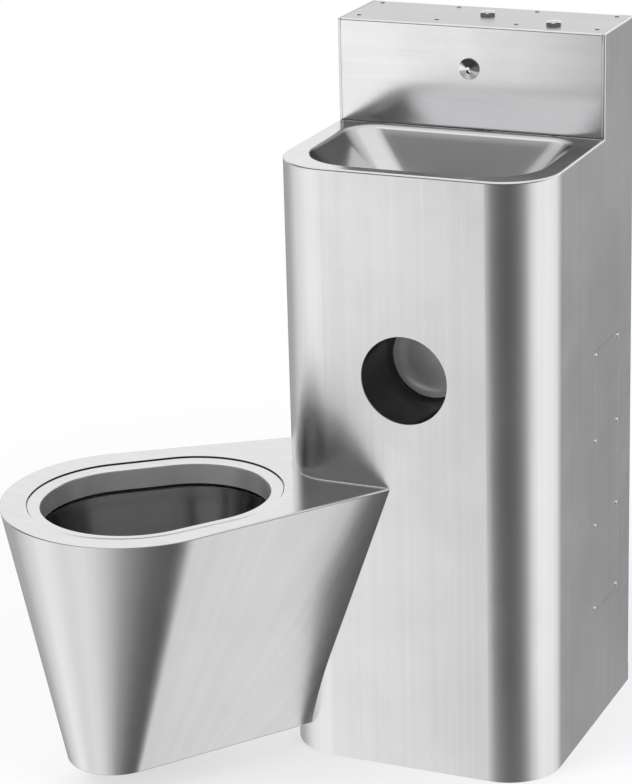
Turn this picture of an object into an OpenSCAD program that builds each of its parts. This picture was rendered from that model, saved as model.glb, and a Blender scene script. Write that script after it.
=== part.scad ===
// Toilet and basin combination unit: a stainless steel cabinet with a basin and an upstand,
// and a toilet pan that hangs from the cabinet's left front corner on a diagonal.
// Frame: +X to the right seen from the front, +Y to the wall, +Z up.
// The origin is on the floor, at the wall, in the middle of the cabinet's width.

/* [Cabinet] */
// Width of the cabinet
body_w = 390; // [370:1:430]
// Depth of the cabinet, from the wall to the front
body_d = 385; // [375:1:420]
// Height of the basin's deck above the floor
rim_h = 855; // [840:1:870]
// Height of the upstand above the basin's deck
upstand_h = 145; // [125:1:195]
// Depth of the upstand behind the basin
upstand_d = 127; // [122:1:135]
// Radius of the cabinet's two front corners
corner_r = 78; // [70:1:85]
// Thickness of the cabinet's and the basin's sheet
sheet_t = 1.5; // [1:0.1:2]
// Width of the folded lips along the upstand's edges
lip_w = 4; // [3:0.5:6]
// Width of the flanges that meet the wall
flange_w = 20; // [16:1:24]
// Gap round each plate that lies in an opening
plate_gap = 0.6; // [0.3:0.1:1]

/* [Basin] */
// Width of the basin's opening
basin_w = 328; // [300:1:332]
// Margin of the deck in front of the opening
basin_front = 16.5; // [12:0.5:24]
// Margin of the deck between the upstand and the opening
basin_back = 27; // [22:0.5:34]
// Radius of the opening's two front corners
basin_front_r = 60; // [50:1:70]
// Radius of the opening's two rear corners
basin_back_r = 39; // [30:1:45]
// Depth of the bowl
basin_depth = 138; // [125:1:145]
// Distance of the drain behind the middle of the opening
drain_back = 36.25; // [26:0.25:46]
// Radius of the drain hole
drain_r = 23; // [20:0.5:25]

/* [Toilet pan] */
// Height of the pan's deck above the floor
pan_h = 414; // [405:1:425]
// Distance from the cabinet's square corner to the centre of the pan's nose
nose_a = 206; // [196:1:216]
// Radius of the pan's nose
nose_r = 179; // [174:1:186]
// Radius that the pan's deck narrows to inside the cabinet
heel_r = 123; // [115:1:128]
// Place of that narrowing, behind the cabinet's square corner
heel_a = 105; // [100:1:115]
// Height of the pan's lower edge above the floor
foot_h = 39; // [30:1:45]
// Distance from the square corner to the centre of the lower edge's nose
foot_a = 244.5; // [236:0.5:250]
// Radius of the lower edge's nose
foot_r = 69; // [64:1:76]
// Radius that the lower edge narrows to inside the cabinet
foot_heel_r = 11; // [8:1:16]
// Radius of the seat opening's front end
seat_nose_r = 124; // [118:1:128]
// Radius of the seat opening's rear end
seat_heel_r = 113; // [106:1:116]
// Distance from the square corner to the centre of the opening's rear end
seat_heel_a = 126; // [120:1:132]
// Width of the sunken seat ledge
ledge_w = 19; // [16:1:22]
// Width of the sloping shoulder round the ledge
shoulder_w = 10; // [6:1:12]
// Depth of the seat opening's edge below the deck
ledge_drop = 5.5; // [4:0.5:8]
// Height of the collar inside the opening
collar_h = 36; // [30:1:40]
// Outer radius of the toilet's trapway
trap_r = 40; // [36:1:42]
// Bend radius of the trapway
trap_bend = 45; // [43:1:50]

/* [Roll recess and side panel] */
// Radius of the paper roll's recess
roll_r = 61.5; // [55:0.5:65]
// Distance of the recess's centre below the basin's deck
roll_drop = 284; // [275:1:295]
// Depth of the recess
roll_d = 112; // [100:1:114]
// Radius between the recess's wall and its back
roll_fillet = 24; // [12:1:30]
// Width of the access panel
panel_w = 108; // [100:1:120]
// Height of the access panel
panel_l = 390; // [370:1:400]
// Height of the panel's centre above the floor
panel_h = 367.5; // [360:0.5:380]
// Distance of the panel's centre in front of the wall
panel_y = 112.5; // [105:0.5:125]

/* [Controls and spout] */
// Width across the flats of a push-button's bezel
bezel_af = 20; // [18:0.5:24]
// Height of a bezel above the cover
bezel_h = 5; // [4:0.5:7]
// Angle that both bezels are turned by
bezel_turn = 14; // [0:1:30]
// Radius of a push-button
button_r = 6; // [4.5:0.1:6.5]
// Travel of a push-button
travel = 4; // [2:0.5:5]
// Distance of the basin's button in front of the wall
basin_button_y = 51; // [45:1:58]
// Distance of the flush button to the right of the middle
flush_x = 109; // [100:1:115]
// Distance of the flush button in front of the wall
flush_y = 88; // [82:1:92]
// Radius of the spout's disc
nozzle_r = 15; // [12:0.5:18]
// Height of the spout above the basin's deck
nozzle_up = 85; // [75:1:90]
// Radius of the water hole in the spout
jet_r = 3; // [2:0.25:4]

/* [Pipes] */
// Outer radius of the soil pipe
soil_r = 51; // [48:0.5:55]
// Height of the soil pipe's centre
soil_h = 200; // [196:1:205]
// Distance of the soil pipe from the cabinet's left side
soil_side = 100; // [92:1:105]
// Outer radius of the flush pipe
flush_r = 14; // [12:0.5:16]
// Outer radius of the basin's waste pipe
waste_r = 20; // [18:0.5:21]
// Distance of the waste pipe to the left of the middle
waste_x = 70; // [64:1:76]
// Height of both water inlets
inlet_h = 470; // [460:1:480]
// Outer radius of the basin's inlet
basin_inlet_r = 10.5; // [9:0.1:12]
// Outer radius of the flush inlet
flush_inlet_r = 13.2; // [11:0.1:15]
// Radius of the holes for the floor bolts and the wall bolts
bolt_r = 4.5; // [3.5:0.25:5]
// Distance of the floor bolts from the cabinet's sides
floor_bolt_in = 19; // [16:1:24]
// Distance of the front floor bolts behind the cabinet's front
floor_bolt_front = 53; // [50:1:65]
// Distance of the rear floor bolts in front of the wall
floor_bolt_y = 40; // [36:1:50]
// Height of the lower wall bolts
wall_bolt_low = 120; // [100:1:140]
// Distance of the upper wall bolts below the upstand's top
wall_bolt_drop = 220; // [190:1:260]

/* [Hidden] */
$fn = 64;
// How far every cut runs past the solid it cuts
over = 5;
// Clearance between pieces that are seated, fixed or welded together
seat = 0.2;
// Clearance round a piece that slides
slide = 0.3;
// Thickness of the slices that lofts are drawn between
slice = 0.01;
// Half the cabinet's width
side_x = body_w / 2;
// Heights of the upstand's top, of the roll recess and of the spout, all measured from the deck
body_h = rim_h + upstand_h;
roll_h = rim_h - roll_drop;
nozzle_h = rim_h + nozzle_up;
// Place of the soil pipe, and the patterns of the floor bolts and the wall bolts
soil_x = side_x - soil_side;
floor_bolt_w = body_w - 2 * floor_bolt_in;
floor_bolt_l = body_d - floor_bolt_front - floor_bolt_y;
wall_bolt_high = body_h - wall_bolt_drop;
// Thickness of frames, rails and flanges
frame_t = 2;
// Width of the base frame's floor plate, and height of its upright leg
base_w = 30;
base_leg = 25;
// Room round a pipe that passes through the shell
pass_gap = 2;
// Flange of the roll recess behind the cabinet's front
cup_flange = 10;
// Pipes: how far short of the wall they end, thin wall, and depth of a socket
pipe_end = 1;
pipe_t = 1;
socket_l = 10;

// Upstand's cover: bend, rails under it, and the rows of its screws
cover_bend = 3;
rail_w = 17;
rail_leg = 15;
cover_row_front = 97.5;
cover_row_rear = 10.5;
cover_margin = 17;
cover_pitch = (body_w - 2 * (lip_w + cover_margin)) / 3;
// Access panel: inset of its screws, their pitch, and width of the backing frame
panel_inset = 6;
panel_pitch = (panel_l - 2 * panel_inset) / 3;
panel_frame_w = 14;
// Screws that hold plates: shank, head, length, key and the clearance in their holes
screw_r = 2;
screw_head_r = 3.5;
screw_head_h = 1.8;
screw_head_share = 0.7;
screw_l = 8;
screw_key_r = 1.3;
screw_clear = 0.2;

// Basin: rear and front edge of the opening, place of the drain, and height of the bowl's floor
basin_y0 = -(upstand_d + basin_back);
basin_y1 = -(body_d - basin_front);
drain_y = -(basin_y0 + basin_y1) / 2 - drain_back;
bowl_floor = rim_h - basin_depth;
floor_t = sheet_t;
bowl_wall = 2;
tongue_l = 18;
// Basin half way down: its depth, how far it lies inside the opening, and its radii
mid_depth = 82;
mid_side = 62;
mid_front = 50;
mid_back = 27;
mid_front_r = 50;
mid_back_r = 38;
mid_w = basin_w - 2 * mid_side;
basin_floor_r = 40;

// Seat ring: depth of the shoulder, height of the step that shows as a line, edge, lap on the plate
shoulder_drop = 2;
step_drop = 2;
edge_r = 3;
ring_lap = 1;
// Flush rim: distance from the collar, height of its slot, and its floor
rim_off = 17;
rim_slot = 5;
rim_z0 = pan_h - collar_h - rim_slot - sheet_t;
// Lip folded in along the pan's lower edge
foot_lip = 12;
// Bowl of the pan: its step behind the collar, flange, belly, sump and neck
bowl_step = 2;
bowl_flange = 12;
belly_z = 230;
belly_back = 8;
belly_nose_r = 94;
belly_heel_r = 84;
sump_z = 152;
neck_l = 8;
// Trapway: place of its sump, wall, height of its lower bend, and its outlet
trap_a = 107;
trap_t = 2;
trap_lift = 2;
trap_z = foot_h + trap_lift + trap_r + trap_bend;
trap_in = 4;
trap_top = soil_h + soil_r - trap_r - trap_in;
trap_end = 84;
// Soil pipe: wall, bend, start inside the cabinet's corner, bell on the bend, and the seal's length
soil_t = 2.5;
soil_bend = 110;
soil_in = 58;
bell_l = 8;
bell_gap = 0.6;
seal_l = 22;
soil_corner_a = (side_x - soil_x) * sqrt(2);
soil_tangent = soil_bend * tan(22.5);
// Flush pipe: height over the rim's floor, its end in the rim, and the bend under its valve
flush_up = 4;
flush_z = rim_z0 + sheet_t + flush_up + flush_r;
flush_in = -1;
flush_turn_x = 75;
flush_turn_y = body_d - side_x - flush_turn_x;
flush_turn_a = (side_x + flush_turn_x) * sqrt(2);
flush_bend = 30;
seal_neck = 1.6;
grommet_h = 5;
grommet_w = 3;

// Push-buttons: barrel, lip and chamfer of the bezel
barrel_r = 9;
barrel_bore = 7.8;
barrel_l = 24;
bezel_lip = 4;
chamfer_share = 2;
// Push-buttons: stop flange, crown, dimple and stem of the moving part, and its spring
flange_r = barrel_bore - slide;
flange_h = 3;
button_proud = 1.2;
crown_dome = 0.6;
dome_share = 0.75;
dimple_r = 0.8;
stem_r = 3;
spring_wire = 0.6;
spring_turns = 6;
// Push-buttons: nut, air capsule, barb and air tube
nut_h = 6;
nut_af = 26;
capsule_r = 18;
capsule_h = 35;
barb_l = 12;
tube_r = 3;
tube_bend = 12;

// Spout: disc, cone, water hole, shank and nut
nozzle_proud = 4;
nozzle_cone = 2.5;
cone_share = 0.2;
jet_low = 2;
jet_tilt = 20;
jet_deep = 8;
shank_r = 9;
shank_bore = 4;
shank_l = 28;
shank_af = 24;
// Elbow behind the spout, and the riser
elbow_r = 10;
elbow_wall = 2;
riser_r = 6;
riser_y = upstand_d - sheet_t - shank_l - elbow_r - seat;

// Valves: bodies, clamp ring, inlet boss and air port
basin_valve_r = 18;
basin_valve_h = 90;
flush_valve_r = 26;
flush_valve_h = 134;
valve_under = 30;
valve_z = inlet_h - valve_under;
clamp_h = 8;
clamp_share = 0.55;
boss_l = 12;
boss_wall = 4;
port_drop = 15;
port_l = 4;
basin_port_z = valve_z + basin_valve_h - port_drop;
flush_port_z = valve_z + flush_valve_h - port_drop;
// Rail that carries the inlets, and the inlets' walls, collars and nuts
rail_h = 50;
rail_y = 26;
nipple_t = 2.5;
collar_add = 8;
locknut_h = 6;

// Basin's waste: strainer, washer, body, bridge, screw and tail
grid_r = 30;
grid_t = 2;
grid_ring = 8;
grid_hole_r = 2.4;
seal_t = 2;
waste_flange_r = 32;
cup_l = 12;
bridge_w = 7;
waste_screw_l = 14;
tail_r = 16;
tail_l = 34;
// Basin's trap: slip nut, lap on the tail, legs, elbow and outlet
slip_h = 14;
trap_lap = 20;
trap_leg = 46;
trap_rise = 52;
elbow_bend = 26;
trap_tail = 30;
waste_top = bowl_floor - floor_t - seal_t - cup_l - tail_l + trap_lap;
waste_u = waste_top - trap_leg;
waste_z = waste_u + trap_rise;

// Outline of the cabinet, drawn in by d and open past the wall by back
module cabinet_outline(d = 0, back = 0) {
    r = corner_r - d;
    union() {
        translate([-side_x + d, -body_d + corner_r])
            square([body_w - 2 * d, body_d - corner_r + back]);
        translate([-side_x + corner_r, -body_d + d])
            square([body_w - 2 * corner_r, body_d - d + back]);
        for (s = [-1, 1])
            translate([s * (side_x - corner_r), -body_d + corner_r])
                circle(r);
    }
}

// The same outline, kept in front of the upstand
module deck_outline(d = 0) {
    difference() {
        cabinet_outline(d);
        translate([-body_w, -upstand_d])
            square([2 * body_w, upstand_d + over]);
    }
}

// Two circles on one axis and the straight sides that touch both
module twin_outline(a1, r1, a2, r2) {
    s = (r1 - r2) / (a1 - a2);
    c = sqrt(1 - s * s);
    translate([a1, 0])
        circle(r1);
    translate([a2, 0])
        circle(r2);
    polygon([
        [a1 - r1 * s, r1 * c], [a2 - r2 * s, r2 * c],
        [a2 - r2 * s, -r2 * c], [a1 - r1 * s, -r1 * c]
    ]);
}

module pan_plan(d = 0) {
    twin_outline(nose_a, nose_r + d, -heel_a, heel_r + d);
}

module foot_plan(d = 0) {
    twin_outline(foot_a, foot_r + d, -heel_a, foot_heel_r + d);
}

module seat_plan(d = 0) {
    twin_outline(nose_a, seat_nose_r + d, seat_heel_a, seat_heel_r + d);
}

module belly_plan(d = 0) {
    twin_outline((nose_a - belly_back), belly_nose_r + d, seat_heel_a, belly_heel_r + d);
}

// Rounded rectangle of the basin, with its own radii in front and behind
module basin_plan(w, y_front, y_back, rf, rb) {
    union() {
        translate([-w / 2, y_front + rf])
            square([w, y_back - rb - y_front - rf]);
        translate([-w / 2 + rf, y_front])
            square([w - 2 * rf, y_back - rb - y_front]);
        translate([-w / 2 + rb, y_front + rf])
            square([w - 2 * rb, y_back - y_front - rf]);
        for (s = [-1, 1]) {
            translate([s * (w / 2 - rf), y_front + rf])
                circle(rf);
            translate([s * (w / 2 - rb), y_back - rb])
                circle(rb);
        }
    }
}

// Puts the pan's own frame, x along its axis away from the cabinet, into the cabinet's corner
module at_pan() {
    translate([-side_x, -body_d, 0])
        rotate([0, 0, -135])
            children();
}

// The room that the cabinet takes, for trimming the pan's pieces to it
module cabinet_room(gap = seat) {
    translate([0, 0, -over])
        linear_extrude(body_h + 2 * over)
            cabinet_outline(-gap, over);
}

// A prism of a 2-D outline between two heights
module slab(z0, z1) {
    translate([0, 0, z0])
        linear_extrude(z1 - z0)
            children();
}

// Hexagon by its width across the flats
module hex(af, h) {
    cylinder(h = h, r = af / 2 / cos(30), $fn = 6);
}

// Tube along z, from z0 to z1
module pipe(r, t, z0, z1) {
    translate([0, 0, z0])
        difference() {
            cylinder(h = z1 - z0, r = r);
            translate([0, 0, -over])
                cylinder(h = z1 - z0 + 2 * over, r = r - t);
        }
}

// Bent tube: an arc in the x-y plane about the origin, from the x axis on
module bend(r, t, bend_r, angle) {
    rotate_extrude(angle = angle)
        translate([bend_r, 0])
            difference() {
                circle(r);
                circle(r - t);
            }
}

// Low screw with a six-sided key, its head above z = 0
module plate_screw() {
    difference() {
        union() {
            cylinder(h = screw_head_h / 2, r = screw_head_r);
            translate([0, 0, screw_head_h / 2])
                cylinder(h = screw_head_h / 2, r1 = screw_head_r, r2 = screw_head_r * screw_head_share);
            translate([0, 0, -screw_l])
                cylinder(h = screw_l, r = screw_r);
        }
        translate([0, 0, screw_head_h / 2])
            cylinder(h = over, r = screw_key_r, $fn = 6);
    }
}

// Places of the eight cover screws
module at_cover_screws() {
    for (k = [-1.5:1:1.5], y = [cover_row_front, cover_row_rear])
        translate([k * cover_pitch, -y, body_h])
            children();
}

// Places of the eight panel screws, each turned to face out of the cabinet's right side
module at_panel_screws() {
    for (k = [-1.5:1:1.5], s = [-1, 1])
        translate([side_x, -panel_y + s * (panel_w / 2 - panel_inset), panel_h + k * panel_pitch])
            rotate([0, 90, 0])
                children();
}

// A plate on the right side: thickness t, its outer face at depth d behind the cabinet's side
module side_plate(w, l, t, d) {
    translate([side_x - d - t, -panel_y - w / 2, panel_h - l / 2])
        cube([t, w, l]);
}

// Shell of the cabinet: the sheet wrapped round the front, its wall flanges and its lips
module body_shell() {
    color("gainsboro")
        difference() {
            union() {
                slab(0, body_h)
                    difference() {
                        cabinet_outline();
                        cabinet_outline(sheet_t, over);
                    }
                for (s = [-1, 1]) {
                    translate([s > 0 ? side_x - flange_w : -side_x, -sheet_t, base_leg + frame_t])
                        cube([flange_w, sheet_t, body_h - base_leg - frame_t]);
                    translate([s > 0 ? side_x - lip_w : -side_x, -upstand_d, rim_h])
                        cube([lip_w, sheet_t, body_h - rim_h]);
                    translate([s > 0 ? side_x - lip_w : -side_x, -upstand_d, body_h - sheet_t])
                        cube([lip_w, upstand_d, sheet_t]);
                }
            }
            translate([-body_w, -body_d - over, rim_h - sheet_t])
                cube([2 * body_w, body_d + over - upstand_d, body_h]);
            side_plate(panel_w + 2 * plate_gap, panel_l + 2 * plate_gap, sheet_t + 2 * over, -over);
            translate([0, -body_d + corner_r, roll_h])
                rotate([90, 0, 0])
                    cylinder(h = corner_r + over, r = roll_r);
            at_pan() {
                translate([0, 0, trap_top])
                    rotate([0, -90, 0])
                        cylinder(h = corner_r, r = trap_r + pass_gap);
                translate([0, 0, flush_z])
                    rotate([0, -90, 0])
                        cylinder(h = corner_r, r = flush_r + pass_gap);
            }
            for (s = [-1, 1], z = [wall_bolt_low, wall_bolt_high])
                translate([s * (side_x - flange_w / 2), over, z])
                    rotate([90, 0, 0])
                        cylinder(h = sheet_t + 2 * over, r = bolt_r);
        }
}

// Ring of angle section inside the foot of the shell, with the floor bolts' holes
module base_frame() {
    gap = sheet_t + seat;
    color("silver")
        difference() {
            union() {
                slab(0, frame_t)
                    closed_ring(gap, base_w);
                slab(0, base_leg)
                    closed_ring(gap, frame_t);
            }
            for (s = [-1, 1], y = [floor_bolt_y, floor_bolt_y + floor_bolt_l])
                translate([s * floor_bolt_w / 2, -y, -over])
                    cylinder(h = frame_t + 2 * over, r = bolt_r);
        }
}

// Band of width w inside the cabinet's outline, closed along the wall
module closed_ring(d, w) {
    difference() {
        cabinet_outline(d);
        intersection() {
            cabinet_outline(d + w);
            translate([-body_w, -body_d])
                square([2 * body_w, body_d - w]);
        }
    }
}

// One level of the basin's bowl, from the opening down: its plan grows by d on every side
module bowl_level(level, z0, z1, d) {
    slab(z0, z1)
        if (level == 0)
            basin_plan(basin_w + 2 * d, basin_y1 - d, basin_y0 + d, basin_front_r + d, basin_back_r + d);
        else if (level == 1)
            basin_plan(mid_w + 2 * d, basin_y1 + mid_front - d, basin_y0 - mid_back + d,
                       mid_front_r + d, mid_back_r + d);
        else
            translate([0, -drain_y])
                circle(basin_floor_r + d);
}

// The basin's bowl as a solid: drawn once for its outside and once for its inside
module bowl_solid(d, drop, rise) {
    hull() {
        bowl_level(0, rim_h - sheet_t, rim_h - sheet_t + rise, d, $fn = 40);
        bowl_level(1, rim_h - mid_depth - drop, rim_h - mid_depth - drop + slice, d, $fn = 40);
    }
    hull() {
        bowl_level(1, rim_h - mid_depth - drop, rim_h - mid_depth - drop + slice, d, $fn = 40);
        bowl_level(2, bowl_floor - drop, bowl_floor - drop + slice, d, $fn = 40);
    }
}

// Basin: the deck, its tongue under the upstand's cover, and the bowl pressed into it
module basin() {
    tongue_x = side_x - sheet_t - seat;
    color("whitesmoke")
        difference() {
            union() {
                slab(rim_h - sheet_t, rim_h) {
                    deck_outline();
                    translate([-tongue_x, -upstand_d - tongue_l])
                        square([2 * tongue_x, 2 * tongue_l]);
                }
                bowl_solid(bowl_wall, floor_t, slice);
            }
            bowl_solid(0, 0, sheet_t + over);
            translate([0, -drain_y, bowl_floor - floor_t - over])
                cylinder(h = floor_t + 2 * over, r = drain_r);
        }
}

// Side profile of the upstand's cover: its front, its bend and its top
module cover_profile() {
    z0 = rim_h + plate_gap;
    translate([-upstand_d, z0])
        square([sheet_t, body_h - cover_bend - z0]);
    translate([-upstand_d + cover_bend, body_h - sheet_t])
        square([upstand_d - cover_bend - sheet_t - plate_gap, sheet_t]);
    intersection() {
        translate([-upstand_d + cover_bend, body_h - cover_bend])
            difference() {
                circle(cover_bend);
                circle(cover_bend - sheet_t);
            }
        translate([-upstand_d, body_h - cover_bend])
            square(cover_bend);
    }
}

// Cover of the upstand: one folded sheet between the shell's lips
module upstand_cover() {
    cover_w = body_w - 2 * (lip_w + plate_gap);
    color("white")
        difference() {
            translate([-cover_w / 2, 0, 0])
                rotate([90, 0, 90])
                    linear_extrude(cover_w)
                        cover_profile();
            at_cover_screws()
                translate([0, 0, -screw_l])
                    cylinder(h = screw_l + over, r = screw_r + screw_clear);
            at_buttons()
                translate([0, 0, -barrel_l])
                    cylinder(h = barrel_l + over, r = barrel_r + seat);
            translate([0, -upstand_d - over, nozzle_h])
                rotate([-90, 0, 0])
                    cylinder(h = sheet_t + 2 * over, r = shank_r + seat);
        }
}

// Angle rail under the cover; the flush button's nut passes through a notch in the front one
module cover_rail(row) {
    w = 2 * (side_x - sheet_t - seat);
    z = body_h - sheet_t - seat;
    difference() {
        translate([-w / 2, -row - rail_w / 2, 0]) {
            translate([0, 0, z - frame_t])
                cube([w, rail_w, frame_t]);
            translate([0, 0, z - rail_leg])
                cube([w, frame_t, rail_leg]);
        }
        at_cover_screws()
            translate([0, 0, -screw_l - over])
                cylinder(h = screw_l + over, r = screw_r + screw_clear);
        at_buttons()
            translate([0, 0, -barrel_l])
                cylinder(h = barrel_l, r = nut_af / 2 / cos(30) + seat);
    }
}

module cover_rails() {
    color("silver") {
        cover_rail(cover_row_front);
        cover_rail(cover_row_rear);
    }
}

module cover_screws() {
    color("lightgray")
        at_cover_screws()
            plate_screw();
}

// Access panel, flush in the opening of the cabinet's right side
module access_panel() {
    color("whitesmoke")
        difference() {
            side_plate(panel_w, panel_l, sheet_t, 0);
            at_panel_screws()
                translate([0, 0, -screw_l])
                    cylinder(h = screw_l + over, r = screw_r + screw_clear);
        }
}

// Backing frame behind the panel's opening, which the screws bite into
module access_panel_frame() {
    color("silver")
        difference() {
            side_plate(panel_w + panel_frame_w, panel_l + panel_frame_w, frame_t, sheet_t + seat);
            side_plate(panel_w - 2 * panel_frame_w, panel_l - 2 * panel_frame_w,
                       frame_t + 2 * over, sheet_t + seat - over);
            at_panel_screws()
                translate([0, 0, -screw_l - over])
                    cylinder(h = screw_l + over, r = screw_r + screw_clear);
        }
}

module access_panel_screws() {
    color("lightgray")
        at_panel_screws()
            plate_screw();
}

// Half section of the roll recess: x is the radius, y the depth behind the mouth
module cup_plan(r, d, f) {
    square([r, d - f]);
    square([r - f, d]);
    translate([r - f, d - f])
        circle(f);
}

// Recess for the paper roll: a spun cup with a flange behind the cabinet's front
module roll_recess() {
    color("gainsboro")
        translate([0, -body_d + sheet_t + seat, roll_h])
            rotate([-90, 0, 0])
                rotate_extrude()
                    difference() {
                        union() {
                            cup_plan(roll_r + sheet_t, roll_d + sheet_t, roll_fillet + sheet_t);
                            square([roll_r + cup_flange, sheet_t]);
                        }
                        cup_plan(roll_r, roll_d, roll_fillet);
                        translate([0, -over])
                            square([roll_r, 2 * over]);
                    }
}

// One level of the seat ring for a loft: the opening's outline, grown by d, at depth z0 to z1
module ring_level(d, z0, z1 = 0) {
    slab(pan_h - z0, pan_h - z0 + max(slice, z0 - z1))
        seat_plan(d, $fn = 48);
}

// Deck of the pan: the plate and the sunken seat ring with its collar
module toilet_deck() {
    w = ledge_w + shoulder_w;
    low = shoulder_drop + step_drop;
    lap_drop = ring_lap * shoulder_drop / shoulder_w;
    color("gainsboro")
        difference() {
            at_pan()
                difference() {
                    union() {
                        slab(pan_h - sheet_t, pan_h)
                            pan_plan();
                        hull() {
                            ring_level(w, sheet_t, sheet_t / 2);
                            ring_level(ledge_w, low + sheet_t, low + sheet_t);
                            ring_level(edge_r, ledge_drop + sheet_t, ledge_drop + sheet_t);
                        }
                        slab(pan_h - collar_h, pan_h - ledge_drop - sheet_t / 2)
                            seat_plan(sheet_t);
                    }
                    hull() {
                        ring_level(w + ring_lap, -lap_drop, -lap_drop);
                        ring_level(ledge_w - ring_lap, shoulder_drop + lap_drop, shoulder_drop + lap_drop);
                    }
                    hull() {
                        ring_level(ledge_w, low, -over);
                        ring_level(edge_r, ledge_drop, ledge_drop);
                    }
                    hull() {
                        ring_level(edge_r + ring_lap, ledge_drop - ring_lap, ledge_drop - ring_lap);
                        ring_level(-ring_lap, ledge_drop + edge_r + ring_lap, ledge_drop + edge_r + ring_lap);
                    }
                    slab(pan_h - collar_h - over, pan_h + over)
                        seat_plan();
                }
            cabinet_room();
        }
}

// The skirt as a solid between the deck and the lower edge, drawn in by d
module skirt_solid(d, z0, z1) {
    hull() {
        slab(z0, z0 + slice)
            foot_plan(-d, $fn = 48);
        slab(z1 - slice, z1)
            pan_plan(-d, $fn = 48);
    }
}

// Skirt of the pan: it tapers down to a small raised foot and ends on the cabinet's corner
module toilet_skirt() {
    top = pan_h - sheet_t - seat;
    color("lightgray")
        difference() {
            at_pan()
                difference() {
                    skirt_solid(0, foot_h, top);
                    skirt_solid(sheet_t, foot_h + sheet_t, top + slice);
                    slab(foot_h - over, foot_h + over)
                        twin_outline(foot_a, foot_r - foot_lip, -heel_a, foot_heel_r / 2);
                    slab(top - slice, top + over)
                        pan_plan(-sheet_t);
                }
            cabinet_room();
        }
}

// Flushing rim: a channel round the collar, open in a slot all round its lower inner edge
module flush_rim() {
    rim_top = pan_h - shoulder_drop - step_drop - sheet_t - 2 * seat;
    color("silver")
        at_pan()
            difference() {
                union() {
                    slab(rim_z0, rim_z0 + sheet_t)
                        difference() {
                            seat_plan(rim_off + sheet_t);
                            seat_plan(bowl_step);
                        }
                    slab(rim_z0, rim_top)
                        difference() {
                            seat_plan(rim_off + sheet_t);
                            seat_plan(rim_off);
                        }
                }
                translate([seat_heel_a - seat_heel_r, 0, flush_z])
                    rotate([0, -90, 0])
                        cylinder(h = rim_off + sheet_t + over, r = flush_r + seal_neck);
            }
}

// The toilet's bowl as a solid: rim to belly, and belly to sump
module pan_bowl_solid(d, z_top) {
    hull() {
        slab(z_top - slice, z_top)
            seat_plan(bowl_step + d, $fn = 40);
        slab(belly_z, belly_z + slice)
            belly_plan(d, $fn = 40);
    }
    hull() {
        slab(belly_z, belly_z + slice)
            belly_plan(d, $fn = 40);
        slab(sump_z, sump_z + slice)
            translate([trap_a, 0])
                circle(trap_r - trap_t + d, $fn = 40);
    }
}

// Bowl of the toilet, with a flange under the rim and a neck that the trap is welded to
module toilet_bowl() {
    top = rim_z0 - seat;
    color("silver")
        at_pan()
            difference() {
                union() {
                    pan_bowl_solid(trap_t, top);
                    slab(top - sheet_t, top)
                        seat_plan(bowl_step + bowl_flange);
                    translate([trap_a, 0, sump_z - neck_l])
                        cylinder(h = neck_l + trap_t, r = trap_r);
                }
                pan_bowl_solid(0, top + slice);
                translate([trap_a, 0, sump_z - neck_l - over])
                    cylinder(h = neck_l + over + trap_t, r = trap_r - trap_t);
            }
}

// Trapway under the bowl: a U-bend, a riser, and a bend that leaves into the cabinet
module toilet_trap() {
    up_a = trap_a - 2 * trap_bend;
    color("lightslategray")
        at_pan() {
            translate([trap_a, 0, 0])
                pipe(trap_r, trap_t, trap_z, sump_z - neck_l - seat);
            translate([trap_a - trap_bend, 0, trap_z])
                rotate([90, 0, 0])
                    rotate([0, 0, 180])
                        bend(trap_r, trap_t, trap_bend, 180);
            translate([up_a, 0, 0])
                pipe(trap_r, trap_t, trap_z, trap_top - trap_bend);
            translate([up_a - trap_bend, 0, trap_top - trap_bend])
                rotate([90, 0, 0])
                    bend(trap_r, trap_t, trap_bend, 90);
            translate([up_a - trap_bend, 0, trap_top])
                rotate([0, -90, 0])
                    pipe(trap_r, trap_t, 0, trap_end + up_a - trap_bend);
        }
}

// Soil bend: it takes the trap on the diagonal and turns to the wall
module soil_elbow() {
    color("dimgray")
        at_pan() {
            translate([0, 0, soil_h])
                rotate([0, -90, 0])
                    pipe(soil_r, soil_t, soil_in, soil_corner_a - soil_tangent);
            translate([soil_tangent - soil_corner_a, -soil_bend, soil_h])
                rotate([0, 0, 90])
                    bend(soil_r, soil_t, soil_bend, 45);
        }
}

// Soil pipe to the wall, belled over the end of the soil bend
module soil_pipe() {
    run = body_d - side_x + soil_x - soil_tangent - seat;
    color("gray")
        translate([-soil_x, 0, soil_h])
            rotate([90, 0, 0])
                difference() {
                    union() {
                        translate([0, 0, pipe_end])
                            cylinder(h = run - pipe_end, r = soil_r);
                        translate([0, 0, run - bell_l])
                            cylinder(h = 2 * bell_l, r = soil_r + bell_gap + soil_t);
                    }
                    cylinder(h = run + over, r = soil_r - soil_t);
                    translate([0, 0, run])
                        cylinder(h = bell_l + over, r = soil_r + bell_gap);
                }
}

// Rubber ring between the trap and the wider soil pipe; the trap lies high in it
module soil_seal() {
    color("darkslategray")
        at_pan()
            translate([-soil_in, 0, soil_h])
                rotate([0, -90, 0])
                    difference() {
                        cylinder(h = seal_l, r = soil_r - soil_t - seat);
                        translate([trap_top - soil_h, 0, -over])
                            cylinder(h = seal_l + 2 * over, r = trap_r + seat);
                    }
}

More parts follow.
